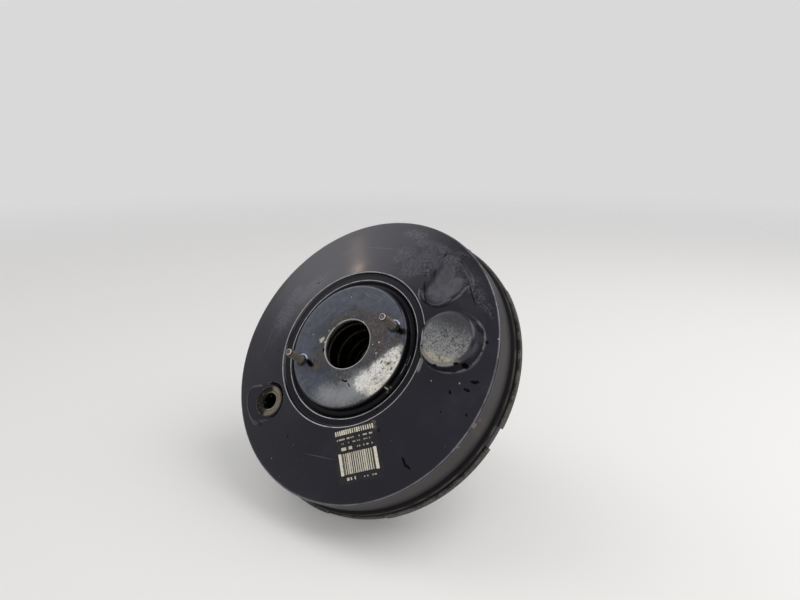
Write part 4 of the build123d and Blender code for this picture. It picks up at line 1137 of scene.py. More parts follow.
    # crumbs of dry sealant round the hole and in the trough
    pale_crumbs = m.blobs((
        (-26.6, 13.2, 3.0, 2.1, 40), (-23.2, 9.9, 1.0, 0.8, 0), (-17.8, 20.1, 0.9, 0.6, 40), (4.1, 23.9, 0.9, 0.5, 0), (7.4, 22.9, 0.6, 0.5, 0), (19.4, 15.2, 0.6, 0.9, 0), (13.0, -15.2, 0.8, 0.7, 0), (28.5, -19.8, 0.7, 0.6, 0), (32.6, -10.3, 0.9, 0.7, 0), (26.2, -10.2, 0.5, 0.5, 0),
        (31.6, -52.6, 1.0, 0.6, 30), (-35.8, 22.5, 0.8, 0.6, 0), (9.0, 46.6, 0.6, 0.5, 0)), 0.28, fine, 2.2)
    m.over(m.mul(pale_crumbs, m.blend(m.step(grit, 0.35, 0.6), 0.75, 1.0)), (0.60, 0.55, 0.43), 0.8)
    dim_crumbs = m.blobs(((-10.2, 22.3, 2.4, 0.7, 18), (-29.6, 15.4, 1.2, 0.9, 0), (34.4, -51.6, 1.2, 0.9, 0), (30.6, -54.6, 1.0, 0.7, 40), (45.2, -34.4, 1.0, 0.8, 0)), 0.35, fine, 2.4)
    m.over(m.mul(dim_crumbs, 0.85), (0.150, 0.130, 0.100), 0.8)
    m.raise_by(m.top(pale_crumbs, dim_crumbs), 0.26)
    # small bright arcs in the trough: partly scuffs, partly painted reflections
    m.over(m.mul(m.top(m.mul(m.near(r, 62.0, 0.18, 0.22), m.near(a, -37, 5, 3)), m.mul(m.near(r, 66.6, 0.15, 0.2), m.near(a, -34, 4, 3)), m.mul(m.near(r, 63.6, 0.15, 0.2), m.near(a, -30.5, 3, 2))), face, m.step(fine, 0.38, 0.52), 0.7), (0.26, 0.26, 0.27), 0.4)
    # drips and blots of old oil
    blots = m.blobs((
        (107.3, -67.0, 2.9, 1.5, -14), (104.4, -65.6, 1.2, 0.9, 0), (99.6, -71.9, 2.1, 1.4, -35), (97.6, -70.3, 1.0, 0.8, 0), (85.4, -70.4, 1.1, 2.0, 10), (94, -91.5, 0.7, 1.5, 0), (34.4, -115.5, 1.2, 4.2, 8), (37, -120.5, 1.1, 2.4, 30),
        (-7.0, -34.6, 2.3, 0.8, -38), (-4.6, -36.2, 1.4, 1.2, 0), (-2.0, -40.2, 0.5, 2.4, 24), (18.4, -85.8, 1.0, 1.2, 0), (-31.4, 84.1, 1.1, 1.1, 0), (-91, -6.3, 1.0, 1.0, 0), (-77, -65, 0.9, 1.3, 0), (-82, 23.8, 0.9, 0.9, 0), (72.2, -27.2, 1.3, 0.8, 0),
        (-25.3, 2.4, 1.1, 2.2, 4), (19.7, -67.4, 1.6, 0.9, 25), (124.2, -35.5, 1.7, 1.6, 0), (122.4, -24.5, 1.5, 4.6, 4), (103.5, -53.4, 2.6, 1.2, 12), (98.6, -52.4, 2.2, 0.9, 0), (80.4, -48.2, 2.2, 0.9, -30), (97.5, 0.9, 4.2, 0.5, -6), (74, -84, 0.8, 0.6, 0), (-112, -41, 0.9, 3.5, 20)), 0.22, wob, 1.7)
    m.over(blots, (0.0060, 0.0060, 0.0065), 0.14, 0.9)
    m.raise_by(blots, 0.10)
    # specks: pale dust and tiny dark pits over the whole face
    m.over(m.mul(m.spots(7.5, 0.42, 5.0, 0.24), face, 0.8), (0.27, 0.265, 0.25), 0.7)
    m.over(m.mul(m.spots(3.6, 0.30, 7.0, 0.20), plateau, 0.8), (0.36, 0.345, 0.31), 0.7)
    m.over(m.mul(m.spots(4.6, 0.40, 8.0, 0.22), face, 0.8), (0.004, 0.004, 0.0045), 0.4)
    m.over(m.blobs(((94.6, -64.8, 0.6, 0.8, 0), (133.8, -34.9, 0.7, 0.7, 0), (72.2, -57.2, 0.6, 0.5, 0), (-100, -78, 0.5, 0.5, 0)), 0.3), (0.32, 0.31, 0.28), 0.7)
    # hairline scratches
    scratches = m.blobs(((40, 98, 16, 0.20, -28), (-98, 44, 14, 0.18, 62), (-44, -92, 15, 0.20, -24), (8, 110, 12, 0.18, 8), (-12, 40, 13, 0.16, 30), (26, 43, 9, 0.16, -55)), 0.4)
    m.over(m.mul(scratches, m.step(grit, 0.3, 0.5), 0.35), (0.35, 0.35, 0.36), 0.4)
    # a few cream spots on the shoulder and wall, as in spilt sealant
    splash = m.top(m.mul(m.near(a, -45.8, 0.55, 0.45), m.near(h, -2.6, 1.6, 1.2), m.step(fine, 0.42, 0.56)), m.mul(m.near(a, -43.3, 0.25, 0.2), m.near(h, -6, 0.5, 0.5)), m.mul(m.near(a, -54.7, 0.4, 0.3), m.near(h, -1.5, 0.8, 0.8), m.step(fine, 0.45, 0.56), 0.5))
    m.over(m.mul(splash, 0.8), (0.27, 0.22, 0.14), 0.7)
    m.raise_by(fine, 0.005)
    return m.done()


def node_combine(self, x, y, z):
    n = self.nt.nodes.new("ShaderNodeCombineXYZ")
    for i, v in enumerate((x, y, z)):
        self.link(n.inputs[i], v)
    return n.outputs[0]


Finish.node_combine = node_combine


# ---------------------------------------------------------------- rear shell and rim
def rear_paint():
    m = Finish("rear_shell_paint", (0.0125, 0.0130, 0.0150), 0.34)
    r, a = m.polar()
    broad, mid, fine = m.noise(45, 3, 0.5, seed=21), m.noise(11, 5, 0.6, 0.5, seed=22), m.noise(2.6, 5, 0.68, seed=23)
    m.rough = m.add(0.26, m.mul(mid, 0.22))
    m.over(m.mul(m.step(mid, 0.40, 0.75), m.step(broad, 0.38, 0.66), 0.5), (0.085, 0.084, 0.080), 0.6)
    rim = m.mul(m.step(r, 142.6, 143.4), m.step(m.y, -41.0, -42.6))
    drawn = m.noise(4.0, 5, 0.68, 0.3, seed=27, stretch=(1.0, 0.5, 1.0))
    # the rolled rim: paint rubbed away, grey-green and brown underneath
    m.over(rim, (0.022, 0.022, 0.019), 0.50, 0.10)
    m.over(m.mul(rim, m.step(drawn, 0.46, 0.64), 0.80), (0.095, 0.097, 0.082), 0.50, 0.20)
    m.over(m.mul(rim, m.step(m.noise(1.7, 5, 0.74, seed=28), 0.50, 0.62), 0.8), (0.015, 0.014, 0.012), 0.5, 0.0)
    m.over(m.mul(rim, m.near(m.y, -48.3, 0.35, 0.35), m.step(mid, 0.38, 0.60), 0.6), (0.22, 0.215, 0.195), 0.40, 0.3)
    m.over(m.mul(rim, m.near(m.y, -43.2, 0.4, 0.5), m.step(mid, 0.45, 0.65), 0.5), (0.16, 0.16, 0.145), 0.45, 0.3)
    m.over(m.mul(rim, m.near(m.y, -45.0, 0.25, 0.25), 0.9), (0.008, 0.008, 0.007), 0.5, 0.0)
    m.over(m.mul(rim, m.step(m.noise(5, 5, 0.7, seed=25), 0.52, 0.64), m.top(m.near(a, -30, 12, 8), m.near(a, 62, 9, 9), m.near(a, -112, 10, 8), 0.15)), (0.125, 0.060, 0.032), 0.78, 0.0)
    m.over(m.mul(rim, m.step(m.noise(2.4, 5, 0.74, seed=26), 0.60, 0.66), m.near(a, -31, 14, 10), 0.85), (0.36, 0.33, 0.25), 0.7, 0.0)
    # rust creeping in from cut edges, dried splashes and pale scuffs on the face against the firewall
    m.over(m.mul(m.near(r, 136.5, 0.8, 1.5), m.step(m.y, -31.0, -39.0), m.step(m.add(m.mul(m.sub(mid, 0.5), 0.9), m.mul(m.sub(fine, 0.5), 0.9)), 0.04, 0.16), 0.45), (0.085, 0.042, 0.024), 0.8)
    flat = m.mul(m.step(r, 79, 76), m.step(m.y, -4.5, -2.5))
    m.over(m.mul(flat, m.step(mid, 0.35, 0.7), 0.5), (0.06, 0.058, 0.052), 0.5)
    m.over(m.mul(m.step(m.noise(0.8, 2, 0.5, at=m.node_combine(m.mul(r, 0.9), m.mul(a, 0.02), 3.0)), 0.62, 0.74), m.step(mid, 0.45, 0.7), 0.3), (0.16, 0.16, 0.155), 0.45)
    m.over(m.mul(m.step(r, 34.0, 32.2), m.step(m.y, -1.0, 2.0), 0.5), (0.09, 0.088, 0.08), 0.42, 0.4)
    m.over(m.mul(m.spots(7.5, 0.8, 9.0, 0.35), 0.8), (0.20, 0.18, 0.14), 0.75)
    m.over(m.mul(m.spots(14, 2.4, 10.0, 0.16), m.step(fine, 0.3, 0.5), 0.8), (0.11, 0.048, 0.020), 0.82)
    m.raise_by(mid, 0.05)
    m.raise_by(fine, 0.02)
    return m.done()


# ---------------------------------------------------------------- metals
def steel(name, color, rough, grime=(0.030, 0.025, 0.020), much=0.5, rust=0.0, seed=0.0, turned=False, edge=0.0, metal=1.0, grain=6.0):
    """Bare or plated steel: stains, grime in patches, tool marks round its axis if turned, brighter edges."""
    m = Finish(name, color, rough, metal)
    mid, fine = m.noise(grain, 5, 0.62, 0.4, seed=31 + seed), m.noise(1.3, 4, 0.6, seed=32 + seed)
    dark = tuple(c * 0.55 for c in color)
    m.over(m.mul(m.step(mid, 0.35, 0.7), 0.7), dark, rough + 0.10)
    m.rough = m.add(m.rough, m.mul(m.sub(fine, 0.5), 0.22))
    if turned:
        lines = m.noise(0.45, 2, 0.5, seed=seed, stretch=(0.02, 1.0, 0.02))
        m.over(m.mul(m.step(lines, 0.5, 0.75), 0.35), tuple(c * 0.7 for c in color))
        m.raise_by(lines, 0.012)
    m.over(m.mul(m.step(m.noise(grain * 0.8, 6, 0.7, seed=33 + seed), 0.60 - 0.25 * much, 0.74 - 0.12 * much), much), grime, 0.72, 0.0)
    if rust:
        k = m.step(m.noise(grain * 0.6, 6, 0.72, 0.6, seed=34 + seed), 0.66 - 0.22 * rust, 0.74 - 0.16 * rust)
        m.over(m.mul(k, 0.9), (0.140, 0.052, 0.020), 0.85, 0.0)
        m.over(m.mul(k, m.step(fine, 0.5, 0.7), 0.6), (0.27, 0.12, 0.045), 0.9, 0.0)
        m.raise_by(k, 0.03)
    if edge:
        m.over(m.mul(m.edges(0.45), m.step(fine, 0.25, 0.6), edge), tuple(min(1, c * 1.5) for c in color), max(0.15, rough - 0.08), 1.0)
    m.raise_by(fine, 0.010)
    m.raise_by(mid, 0.015)
    return m.done()


# ---------------------------------------------------------------- rubber, plastic, fibre
def rubber(name, color, rough=0.62, dust=(0.16, 0.15, 0.135), much=0.4, seed=0.0, lines=0.0):
    m = Finish(name, color, rough)
    mid, fine = m.noise(9, 5, 0.6, 0.5, seed=41 + seed), m.noise(1.0, 4, 0.65, seed=42 + seed)
    m.over(m.step(mid, 0.3, 0.75), tuple(c * 1.6 for c in color), rough - 0.10)
    m.over(m.mul(m.step(m.noise(4, 6, 0.7, seed=43 + seed), 0.45, 0.75), m.step(mid, 0.3, 0.6), much), dust, 0.85)
    m.over(m.mul(m.spots(3.0, 0.35, 11.0 + seed, 0.3), much), tuple(min(1, c * 1.8) for c in dust), 0.85)
    if lines:
        wavy = m.noise(0.8, 2, 0.5, seed=seed, stretch=(0.05, 1.0, 0.05))
        m.raise_by(wavy, lines)
    m.raise_by(fine, 0.02)
    m.raise_by(mid, 0.02)
    return m.done()


def plastic(name, color, rough=0.42, seed=0.0, dirt=(0.05, 0.042, 0.032), much=0.35, flow=0.5):
    """Moulded plastic: faint flow marks, a fine spark-eroded grain and oil stains."""
    m = Finish(name, color, rough)
    mid, fine = m.noise(12, 4, 0.55, 0.8, seed=51 + seed), m.noise(0.6, 3, 0.6, seed=52 + seed)
    m.over(m.mul(m.step(mid, 0.4, 0.75), flow), tuple(c * 0.78 for c in color), rough + 0.08)
    m.over(m.mul(m.step(m.noise(8, 6, 0.7, 1.0, seed=53 + seed), 0.52, 0.78), much), dirt, 0.35)
    m.over(m.mul(m.spots(5, 0.4, 13.0 + seed, 0.3), much), dirt, 0.6)
    m.rough = m.add(m.rough, m.mul(m.sub(fine, 0.5), 0.12))
    m.raise_by(fine, 0.012)
    return m.done()


def fibre(name, color, seed=0.0, size=0.5, dark=0.45, depth=0.06):
    """Pressed fibre or felt: short threads lying every way."""
    m = Finish(name, color, 0.92)
    t1 = m.noise(size, 4, 0.65, 1.5, seed=61 + seed, stretch=(0.35, 1.0, 1.0))
    t2 = m.noise(size, 4, 0.65, 1.5, seed=62 + seed, stretch=(1.0, 1.0, 0.35))
    t3 = m.noise(size, 4, 0.65, 1.5, seed=63 + seed, stretch=(1.0, 0.35, 1.0))
    t = m.top(t1, t2, t3)
    m.over(m.step(t, 0.52, 0.70), tuple(min(1, c * 1.35) for c in color))
    m.over(m.mul(m.step(m.noise(7, 5, 0.6, seed=64 + seed), 0.45, 0.75), dark), tuple(c * 0.35 for c in color))
    m.over(m.mul(m.spots(2.2, 0.3, 15.0 + seed, 0.4), 0.7), tuple(c * 0.2 for c in color))
    m.raise_by(t, depth)
    return m.done()


# ---------------------------------------------------------------- printed label
def label_print():
    m = Finish("label_film_print", (0.0100, 0.0092, 0.0105), 0.30, Specular_Tint=(0.98, 0.93, 1.0, 1.0))
    mp = m.nt.nodes.new("ShaderNodeMapping")
    mp.vector_type = "TEXTURE"
    mp.inputs["Location"].default_value = (LX, 0, LZ)
    mp.inputs["Rotation"].default_value = (0, -LROT, 0)
    m.link(mp.inputs["Vector"], m.p)
    sep = m.nt.nodes.new("ShaderNodeSeparateXYZ")
    m.link(sep.inputs[0], mp.outputs[0])
    u, v = sep.outputs[0], sep.outputs[2]
    fine = m.noise(0.8, 4, 0.65, seed=71)
    m.over(m.mul(m.step(m.noise(6, 5, 0.65, seed=72), 0.42, 0.75), 0.6), (0.030, 0.028, 0.031), 0.42)

    def inside(value, lo, hi, soft=0.10):
        return m.mul(m.step(value, lo - soft, lo + soft), m.step(value, hi + soft, hi - soft))

    def bars(width, share, seed):
        w = m.nt.nodes.new("ShaderNodeTexWhiteNoise")
        w.noise_dimensions = "1D"
        m.link(w.inputs["W"], m.add(m.math("FLOOR", m.math("DIVIDE", u, width)), seed))
        return m.step(w.outputs["Value"], share, share + 0.01)

    def dashes(v0, v1, u0, u1, width, share, seed):
        return m.mul(inside(u, u0, u1, 0.05), inside(v, v0, v1, 0.06), bars(width, share, seed))

    def stripes(pitch, share, seed):
        w = m.nt.nodes.new("ShaderNodeTexWhiteNoise")
        w.noise_dimensions = "1D"
        k = m.math("DIVIDE", u, pitch)
        m.link(w.inputs["W"], m.add(m.math("FLOOR", k), seed))
        return m.step(m.add(m.math("ABSOLUTE", m.sub(m.math("FRACT", k), 0.5)), m.mul(m.sub(w.outputs["Value"], 0.5), 0.22)), share * 0.5 + 0.04, share * 0.5 - 0.04)

    ink = m.top(
        # upper block of stripes
        m.mul(inside(u, -19.0, 19.2), inside(v, 17.0, 20.9), stripes(2.15, 0.58, 3.0)),
        # lower block: two wide side bars and narrow stripes between them
        m.mul(m.top(inside(u, -18.8, -15.8), inside(u, 15.6, 18.6)), inside(v, -15.7, 2.1)),
        m.mul(inside(u, -14.8, 14.8), inside(v, -15.3, 1.8), stripes(2.05, 0.60, 9.0), 0.86),
        # rows of plain dashes
        m.mul(dashes(12.9, 14.2, -18.0, 17.0, 1.0, 0.46, 21.0), 0.62), m.mul(dashes(9.4, 10.5, -14.0, 15.0, 0.9, 0.52, 33.0), 0.55),
        m.mul(dashes(4.2, 6.8, -18.0, -4.0, 1.25, 0.42, 41.0), 0.78), m.mul(dashes(4.8, 6.1, 1.0, 16.0, 1.0, 0.45, 47.0), 0.62),
        m.mul(dashes(-20.2, -17.8, -18.0, -4.0, 1.25, 0.42, 53.0), 0.78), m.mul(dashes(-20.0, -18.8, 2.0, 15.0, 1.0, 0.45, 59.0), 0.6))
    worn = m.step(m.noise(1.4, 5, 0.7, seed=74), 0.30, 0.44)
    tone = m.mix(m.step(fine, 0.35, 0.7), (0.86, 0.81, 0.68), (0.70, 0.64, 0.51))
    m.over(m.mul(ink, worn), tone, 0.50)
    m.over(m.mul(m.spots(3.0, 0.35, 17.0, 0.3), 0.7), (0.30, 0.28, 0.22), 0.7)
    m.over(m.mul(m.blob(15, -78, 3, 5, 0, 0.6, m.noise(3, 4, 0.6, seed=75), 1.6), m.step(fine, 0.52, 0.62)), (0.30, 0.28, 0.21), 0.8)
    m.raise_by(m.mul(ink, worn), 0.012)
    m.raise_by(fine, 0.008)
    return m.done()


def grommet_rubber():
    m = Finish("grommet_beige_rubber", (0.150, 0.124, 0.090), 0.55)
    q = m.vec("LENGTH", m.vec("MULTIPLY", m.vec("SUBTRACT", m.p, (PX, 0, PZ)), (1, 0, 1)))
    lumps, fine = m.noise(4, 5, 0.65, 0.6, seed=81), m.noise(0.9, 4, 0.65, seed=82)
    m.over(m.step(lumps, 0.35, 0.7), (0.250, 0.212, 0.154), 0.62)
    m.over(m.mul(m.near(q, 9.4, 0.7, 0.6), m.step(lumps, 0.25, 0.5), 0.9), (0.46, 0.39, 0.285), 0.6)
    upper = m.step(m.add(m.add(m.mul(m.sub(m.z, PZ), 0.45), m.mul(m.sub(m.x, PX), -0.9)), m.mul(m.sub(lumps, 0.5), 7.0)), -2.5, 1.5)
    m.over(m.mul(upper, 0.95), (0.0070, 0.0064, 0.0075), 0.28, 0.80)
    m.over(m.mul(m.step(q, 8.9, 8.2), 0.95), (0.0060, 0.0058, 0.0055), 0.45)
    # painted highlight on the left of the hole's rim
    m.over(m.mul(m.near(q, 8.6, 0.3, 0.3), m.step(m.sub(m.x, PX), -6, 2), m.step(fine, 0.30, 0.5), 0.8), (0.21, 0.185, 0.14), 0.5)
    m.over(m.mul(m.near(q, 10.2, 0.5, 0.5), 0.8), (0.022, 0.018, 0.015), 0.5)
    m.over(m.mul(m.step(q, 14.2, 15.2), 0.85), (0.014, 0.012, 0.010), 0.5)
    m.over(m.mul(m.step(m.noise(1.6, 5, 0.72, seed=83), 0.55, 0.63), 0.85), (0.020, 0.017, 0.014), 0.6)
    drops = m.spots(1.9, 0.60, 19.0, 0.50)
    m.over(m.mul(drops, upper), (0.42, 0.41, 0.38), 0.35, 0.0)
    m.over(m.mul(m.spots(2.4, 0.55, 23.0, 0.35), m.sub(1.0, upper), 0.8), (0.42, 0.39, 0.32), 0.6)
    m.raise_by(lumps, 0.12)
    m.raise_by(fine, 0.05)
    m.raise_by(drops, 0.05)
    return m.done()


def mc_stud_steel():
    """Plated studs gone brown: thread flanks dark, crests and the tip's rim bare, the collar greased."""
    m = Finish("mc_stud_brown_zinc", (0.060, 0.051, 0.044), 0.42, 0.55)
    q = m.vec("LENGTH", m.node_combine(m.sub(m.math("ABSOLUTE", m.x), STUD_X), m.z, 0.0))
    mid, fine = m.noise(3.0, 5, 0.62, 0.4, seed=91), m.noise(0.9, 4, 0.65, seed=92)
    m.over(m.step(mid, 0.38, 0.66), (0.105, 0.090, 0.078), 0.38)
    m.over(m.mul(m.step(q, 3.78, 3.92), m.step(fine, 0.35, 0.6), 0.55), (0.30, 0.275, 0.245), 0.34, 0.8)
    m.over(m.step(q, 3.62, 3.45), (0.022, 0.018, 0.015), 0.6, 0.0)
    m.over(m.mul(m.step(m.noise(2.0, 5, 0.7, seed=93), 0.56, 0.66), 0.7), (0.110, 0.060, 0.038), 0.75, 0.0)
    end = m.step(m.y, -126.0, -126.5)
    m.over(end, (0.105, 0.085, 0.078), 0.45, 0.4)
    m.over(m.mul(end, m.near(q, 2.75, 0.35, 0.2)), (0.52, 0.47, 0.44), 0.32, 0.7)
    m.over(m.mul(end, m.step(q, 1.0, 0.7)), (0.30, 0.16, 0.15), 0.5, 0.3)
    collar = m.step(m.y, -106.9, -106.3)
    m.over(collar, (0.012, 0.011, 0.011), 0.20, 0.0)
    # painted highlight: a pale blue crescent on the collar's edge, on its upper right side
    aim = m.sub(m.add(m.mul(m.z, 0.72), m.mul(m.sub(m.math("ABSOLUTE", m.x), STUD_X), m.mul(m.math("SIGN", m.x), 0.60))), 0.0)
    m.over(m.mul(collar, m.near(q, 5.5, 0.55, 0.25), m.step(aim, 2.4, 3.6)), (0.55, 0.60, 0.70), 0.25, 0.2)
    m.raise_by(fine, 0.02)
    m.raise_by(mid, 0.02)
    return m.done()


wear(front_shell, shell_paint())
wear(rear_shell, rear_paint())
wear(label, label_print())
wear(grommet, grommet_rubber())
wear(mc_studs, mc_stud_steel())
wear(fw_studs, steel("firewall_stud_zinc", (0.52, 0.49, 0.40), 0.34, much=0.4, rust=0.12, seed=2, edge=0.8, grain=3))
wear("stud_plate", steel("stud_plate_steel", (0.30, 0.30, 0.30), 0.42, much=0.5, rust=0.25, seed=3, edge=0.6))
wear("rear_stud_plate", steel("rear_stud_plate_steel", (0.32, 0.31, 0.30), 0.42, much=0.45, rust=0.25, seed=4, edge=0.6))
# the return spring's near-black colour: its own dark finish together with painted shade for the inside of the hole
wear(ret, steel("return_spring_steel", (0.026, 0.024, 0.022), 0.38, grime=(0.008, 0.007, 0.006), much=0.5, rust=0.06, seed=5))
wear([vrs, pop], steel("small_spring_steel", (0.42, 0.41, 0.39), 0.28, much=0.25, seed=6))
wear("diaphragm_plate", steel("plate_yellow_zinc", (0.52, 0.43, 0.24), 0.38, much=0.25, rust=0.05, seed=7, edge=0.6, grain=9))
wear("diaphragm_retainer", steel("retainer_spring_steel", (0.38, 0.37, 0.35), 0.34, much=0.3, seed=8, edge=0.7))
wear("seal_retainer", steel("seal_retainer_steel", (0.40, 0.39, 0.37), 0.38, much=0.3, rust=0.08, seed=9, edge=0.7))
wear("output_rod", steel("output_rod_steel", (0.50, 0.49, 0.47), 0.26, much=0.2, seed=10, turned=True, edge=0.7))
wear("output_rod_tip", steel("output_rod_tip_hardened", (0.58, 0.55, 0.50), 0.22, much=0.15, seed=11, turned=True, edge=0.6))
wear("rod_retainer", steel("rod_retainer_steel", (0.40, 0.39, 0.36), 0.36, much=0.3, seed=12, edge=0.7))
wear("poppet_retainer", steel("poppet_retainer_steel", (0.48, 0.46, 0.42), 0.34, much=0.25, seed=13, edge=0.7))
wear("valve_plunger", steel("valve_plunger_steel", (0.55, 0.53, 0.50), 0.24, much=0.2, seed=14, turned=True, edge=0.6))
wear("stop_key", steel("stop_key_steel", (0.45, 0.43, 0.40), 0.36, much=0.25, seed=15, edge=0.8))
wear("input_rod", steel("input_rod_zinc", (0.50, 0.48, 0.42), 0.32, much=0.35, rust=0.10, seed=16, turned=True, edge=0.7))
wear("rod_spring_seat", steel("spring_seat_steel", (0.46, 0.44, 0.40), 0.36, much=0.3, seed=17, edge=0.7))
wear("jam_nut", steel("jam_nut_zinc", (0.54, 0.50, 0.38), 0.34, much=0.35, rust=0.12, seed=18, edge=0.9))
wear("clevis", steel("clevis_yellow_zinc", (0.50, 0.42, 0.25), 0.38, much=0.35, rust=0.14, seed=19, edge=0.9, grain=8))
wear(folds, rubber("boot_folds_rubber", (0.020, 0.020, 0.021), 0.60, much=0.5, seed=1, lines=0.03))
wear([cuff, tail_cuff], rubber("boot_cuff_rubber", (0.018, 0.018, 0.019), 0.55, much=0.4, seed=2))
wear(dia, rubber("diaphragm_rubber_cloth", (0.024, 0.023, 0.022), 0.66, much=0.2, seed=3, lines=0.04))
wear("rear_seal", rubber("rear_seal_rubber", (0.014, 0.014, 0.015), 0.42, much=0.15, seed=4))
wear("poppet", rubber("poppet_rubber", (0.018, 0.018, 0.019), 0.45, much=0.1, seed=5))
wear("reaction_disc", rubber("reaction_disc_rubber", (0.026, 0.018, 0.014), 0.40, much=0.1, seed=6))
wear("guide_bearing", plastic("guide_bearing_nylon", (0.66, 0.62, 0.50), 0.40, seed=1))
wear("valve_body", plastic("valve_body_phenolic", (0.024, 0.021, 0.019), 0.36, seed=2, dirt=(0.10, 0.09, 0.075), much=0.4))
wear("firewall_gasket", fibre("gasket_pressed_fibre", (0.115, 0.110, 0.100), seed=1, size=0.7))
wear("air_filter", fibre("air_filter_foam", (0.42, 0.39, 0.31), seed=2, size=0.55, dark=0.6, depth=0.18))
wear("silencer", fibre("silencer_felt", (0.52, 0.49, 0.42), seed=3, size=0.5, dark=0.5, depth=0.14))

# =====================================================================================
# camera, floor and light
# =====================================================================================
cam_data = bpy.data.cameras.new("camera")
cam_data.sensor_width, cam_data.sensor_fit, cam_data.lens = 36.0, "HORIZONTAL", 28.125
cam_data.clip_start, cam_data.clip_end = 0.01, 200.0
cam = bpy.data.objects.new("camera", cam_data)
bpy.context.scene.collection.objects.link(cam)
right, up, back = Vector((0.87858, 0.46160, -0.12259)), Vector((0.33573, -0.41435, 0.84593)), Vector((0.33968, -0.78437, -0.51901))
place = Matrix((right, up, back)).transposed().to_4x4()
place.translation = Vector((0.2501, -0.5469, -0.2688))
cam.matrix_world = place
bpy.context.scene.camera = cam

TILT = Vector((0.416, -0.615, 0.670)).normalized()   # the board's own upward direction
low = min(min((Vector(c) @ TILT) for c in ((v.co.x, v.co.y, v.co.z) for v in o.data.vertices)) for o in (rear_shell, NODES["clevis"], front_shell))


def spread(normal, origin, size, name, steps=48):
    """A big flat board, finer near its middle."""
    ax = normal.orthogonal().normalized()
    ay = normal.cross(ax)
    s = np.linspace(-1, 1, steps + 1)
    s = np.sign(s) * np.abs(s) ** 2 * size
    verts = [tuple(origin + ax * float(a) + ay * float(b)) for a in s for b in s]
    k = steps + 1
    me = bpy.data.meshes.new(name)
    me.from_pydata(verts, [], [(i * k + j, (i + 1) * k + j, (i + 1) * k + j + 1, i * k + j + 1) for i in range(steps) for j in range(steps)])
    if me.polygons[0].normal @ normal < 0:
        me.flip_normals()
    me.update()
    ob = bpy.data.objects.new(name, me)
    bpy.context.scene.collection.objects.link(ob)
    return ob


centre = Vector((0, -0.05, 0))
foot = centre + TILT * (low - 0.0004 - centre @ TILT)
floor = spread(TILT, foot, 8.0, "floor_board")
PALE = (0.705, 0.695, 0.70)
fm = bpy.data.materials.new("floor_board_white")
fm.use_nodes = True
nt = fm.node_tree
nt.nodes.clear()
o_ = nt.nodes.new("ShaderNodeOutputMaterial")
bs = nt.nodes.new("ShaderNodeBsdfPrincipled")
bs.inputs["Roughness"].default_value = 0.75
bs.inputs["Specular IOR Level"].default_value = 0.2
bs.inputs["Base Color"].default_value = (0.82, 0.81, 0.80, 1)
bs.inputs["Emission Color"].default_value = (1.0, 0.99, 0.97, 1)
bs.inputs["Emission Strength"].default_value = 0.15
tr = nt.nodes.new("ShaderNodeBsdfTransparent")
mx = nt.nodes.new("ShaderNodeMixShader")
geo = nt.nodes.new("ShaderNodeNewGeometry")
tc = nt.nodes.new("ShaderNodeTexCoord")
ds = nt.nodes.new("ShaderNodeVectorMath")
ds.operation = "DISTANCE"
ds.inputs[1].default_value = tuple(foot)
nt.links.new(ds.inputs[0], tc.outputs["Object"])
mr = nt.nodes.new("ShaderNodeMapRange")
mr.interpolation_type = "SMOOTHSTEP"
mr.inputs["From Min"].default_value = 0.9
mr.inputs["From Max"].default_value = 3.0
nt.links.new(mr.inputs["Value"], ds.outputs["Value"])
bk = nt.nodes.new("ShaderNodeMath")
bk.operation = "MAXIMUM"
nt.links.new(bk.inputs[0], mr.outputs["Result"])
nt.links.new(bk.inputs[1], geo.outputs["Backfacing"])
nt.links.new(mx.inputs[0], bk.outputs[0])
nt.links.new(mx.inputs[1], bs.outputs[0])
nt.links.new(mx.inputs[2], tr.outputs[0])
nt.links.new(o_.inputs[0], mx.outputs[0])
floor.data.materials.append(fm)


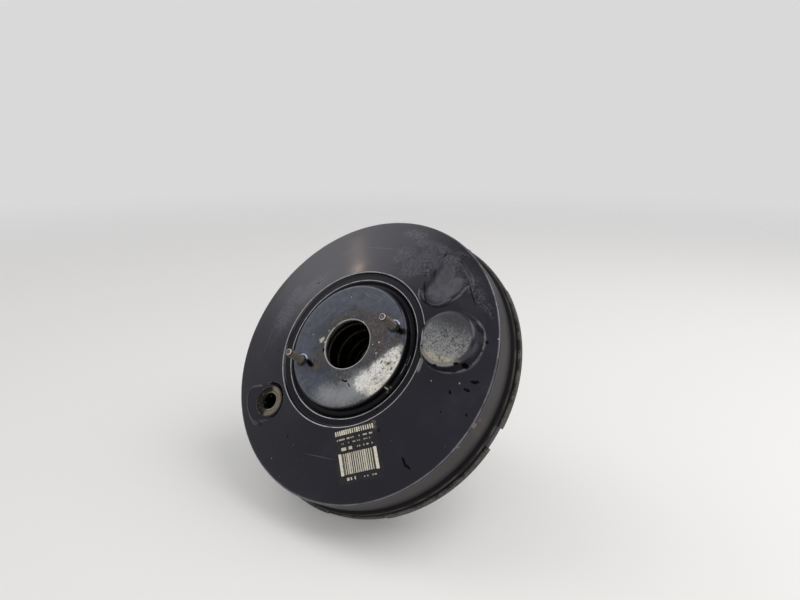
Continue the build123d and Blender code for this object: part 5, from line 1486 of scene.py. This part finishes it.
def lamp(name, direction, distance, size, watts, color=(1, 1, 1), aim=centre):
    d = Vector(direction).normalized()
    data = bpy.data.lights.new(name, "AREA")
    data.shape, data.size, data.energy, data.color = "DISK", size, watts, color
    ob = bpy.data.objects.new(name, data)
    ob.location = aim + d * distance
    ob.rotation_mode = "QUATERNION"
    ob.rotation_quaternion = (-d).to_track_quat("-Z", "Y")
    bpy.context.scene.collection.objects.link(ob)
    return ob


key = lamp("key_softbox", TILT * 0.95 + right * 0.75 + back * 0.15, 1.6, 1.5, 12, (1.0, 0.985, 0.96))
top_light = lamp("top_lamp", (-0.34, -0.467, 0.817), 1.9, 0.13, 0.42, (1.0, 0.80, 0.56), aim=Vector((0.022, -0.088, 0.123)))
fill = lamp("front_fill", back * 1.0 - up * 0.2 + right * 0.3, 1.5, 1.5, 5, (1.0, 0.985, 0.95))
world = bpy.data.worlds.new("pale_studio")
bpy.context.scene.world = world
world.use_nodes = True
wt = world.node_tree
wt.nodes.clear()
wo = wt.nodes.new("ShaderNodeOutputWorld")
wb = wt.nodes.new("ShaderNodeBackground")
wc = wt.nodes.new("ShaderNodeBackground")
wm = wt.nodes.new("ShaderNodeMixShader")
lp = wt.nodes.new("ShaderNodeLightPath")
wb.inputs[0].default_value = (0.975, 0.985, 1.0, 1)
wd = wt.nodes.new("ShaderNodeTexCoord")
wv = wt.nodes.new("ShaderNodeVectorMath")
wv.operation = "DOT_PRODUCT"
wv.inputs[1].default_value = tuple(Vector((-0.34, -0.467, 0.817)).normalized())
wt.links.new(wv.inputs[0], wd.outputs["Generated"])
wr = wt.nodes.new("ShaderNodeMapRange")
wr.interpolation_type = "SMOOTHSTEP"
for key_, value_ in (("From Min", 0.87), ("From Max", 1.0), ("To Min", 0.42), ("To Max", 1.55)):
    wr.inputs[key_].default_value = value_
wt.links.new(wr.inputs["Value"], wv.outputs["Value"])
wt.links.new(wb.inputs[1], wr.outputs["Result"])
wc.inputs[0].default_value, wc.inputs[1].default_value = (*PALE, 1), 1.0
wt.links.new(wm.inputs[0], lp.outputs["Is Camera Ray"])
wt.links.new(wm.inputs[1], wb.outputs[0])
wt.links.new(wm.inputs[2], wc.outputs[0])
wt.links.new(wo.inputs[0], wm.outputs[0])
bpy.context.scene.view_settings.view_transform = "Standard"
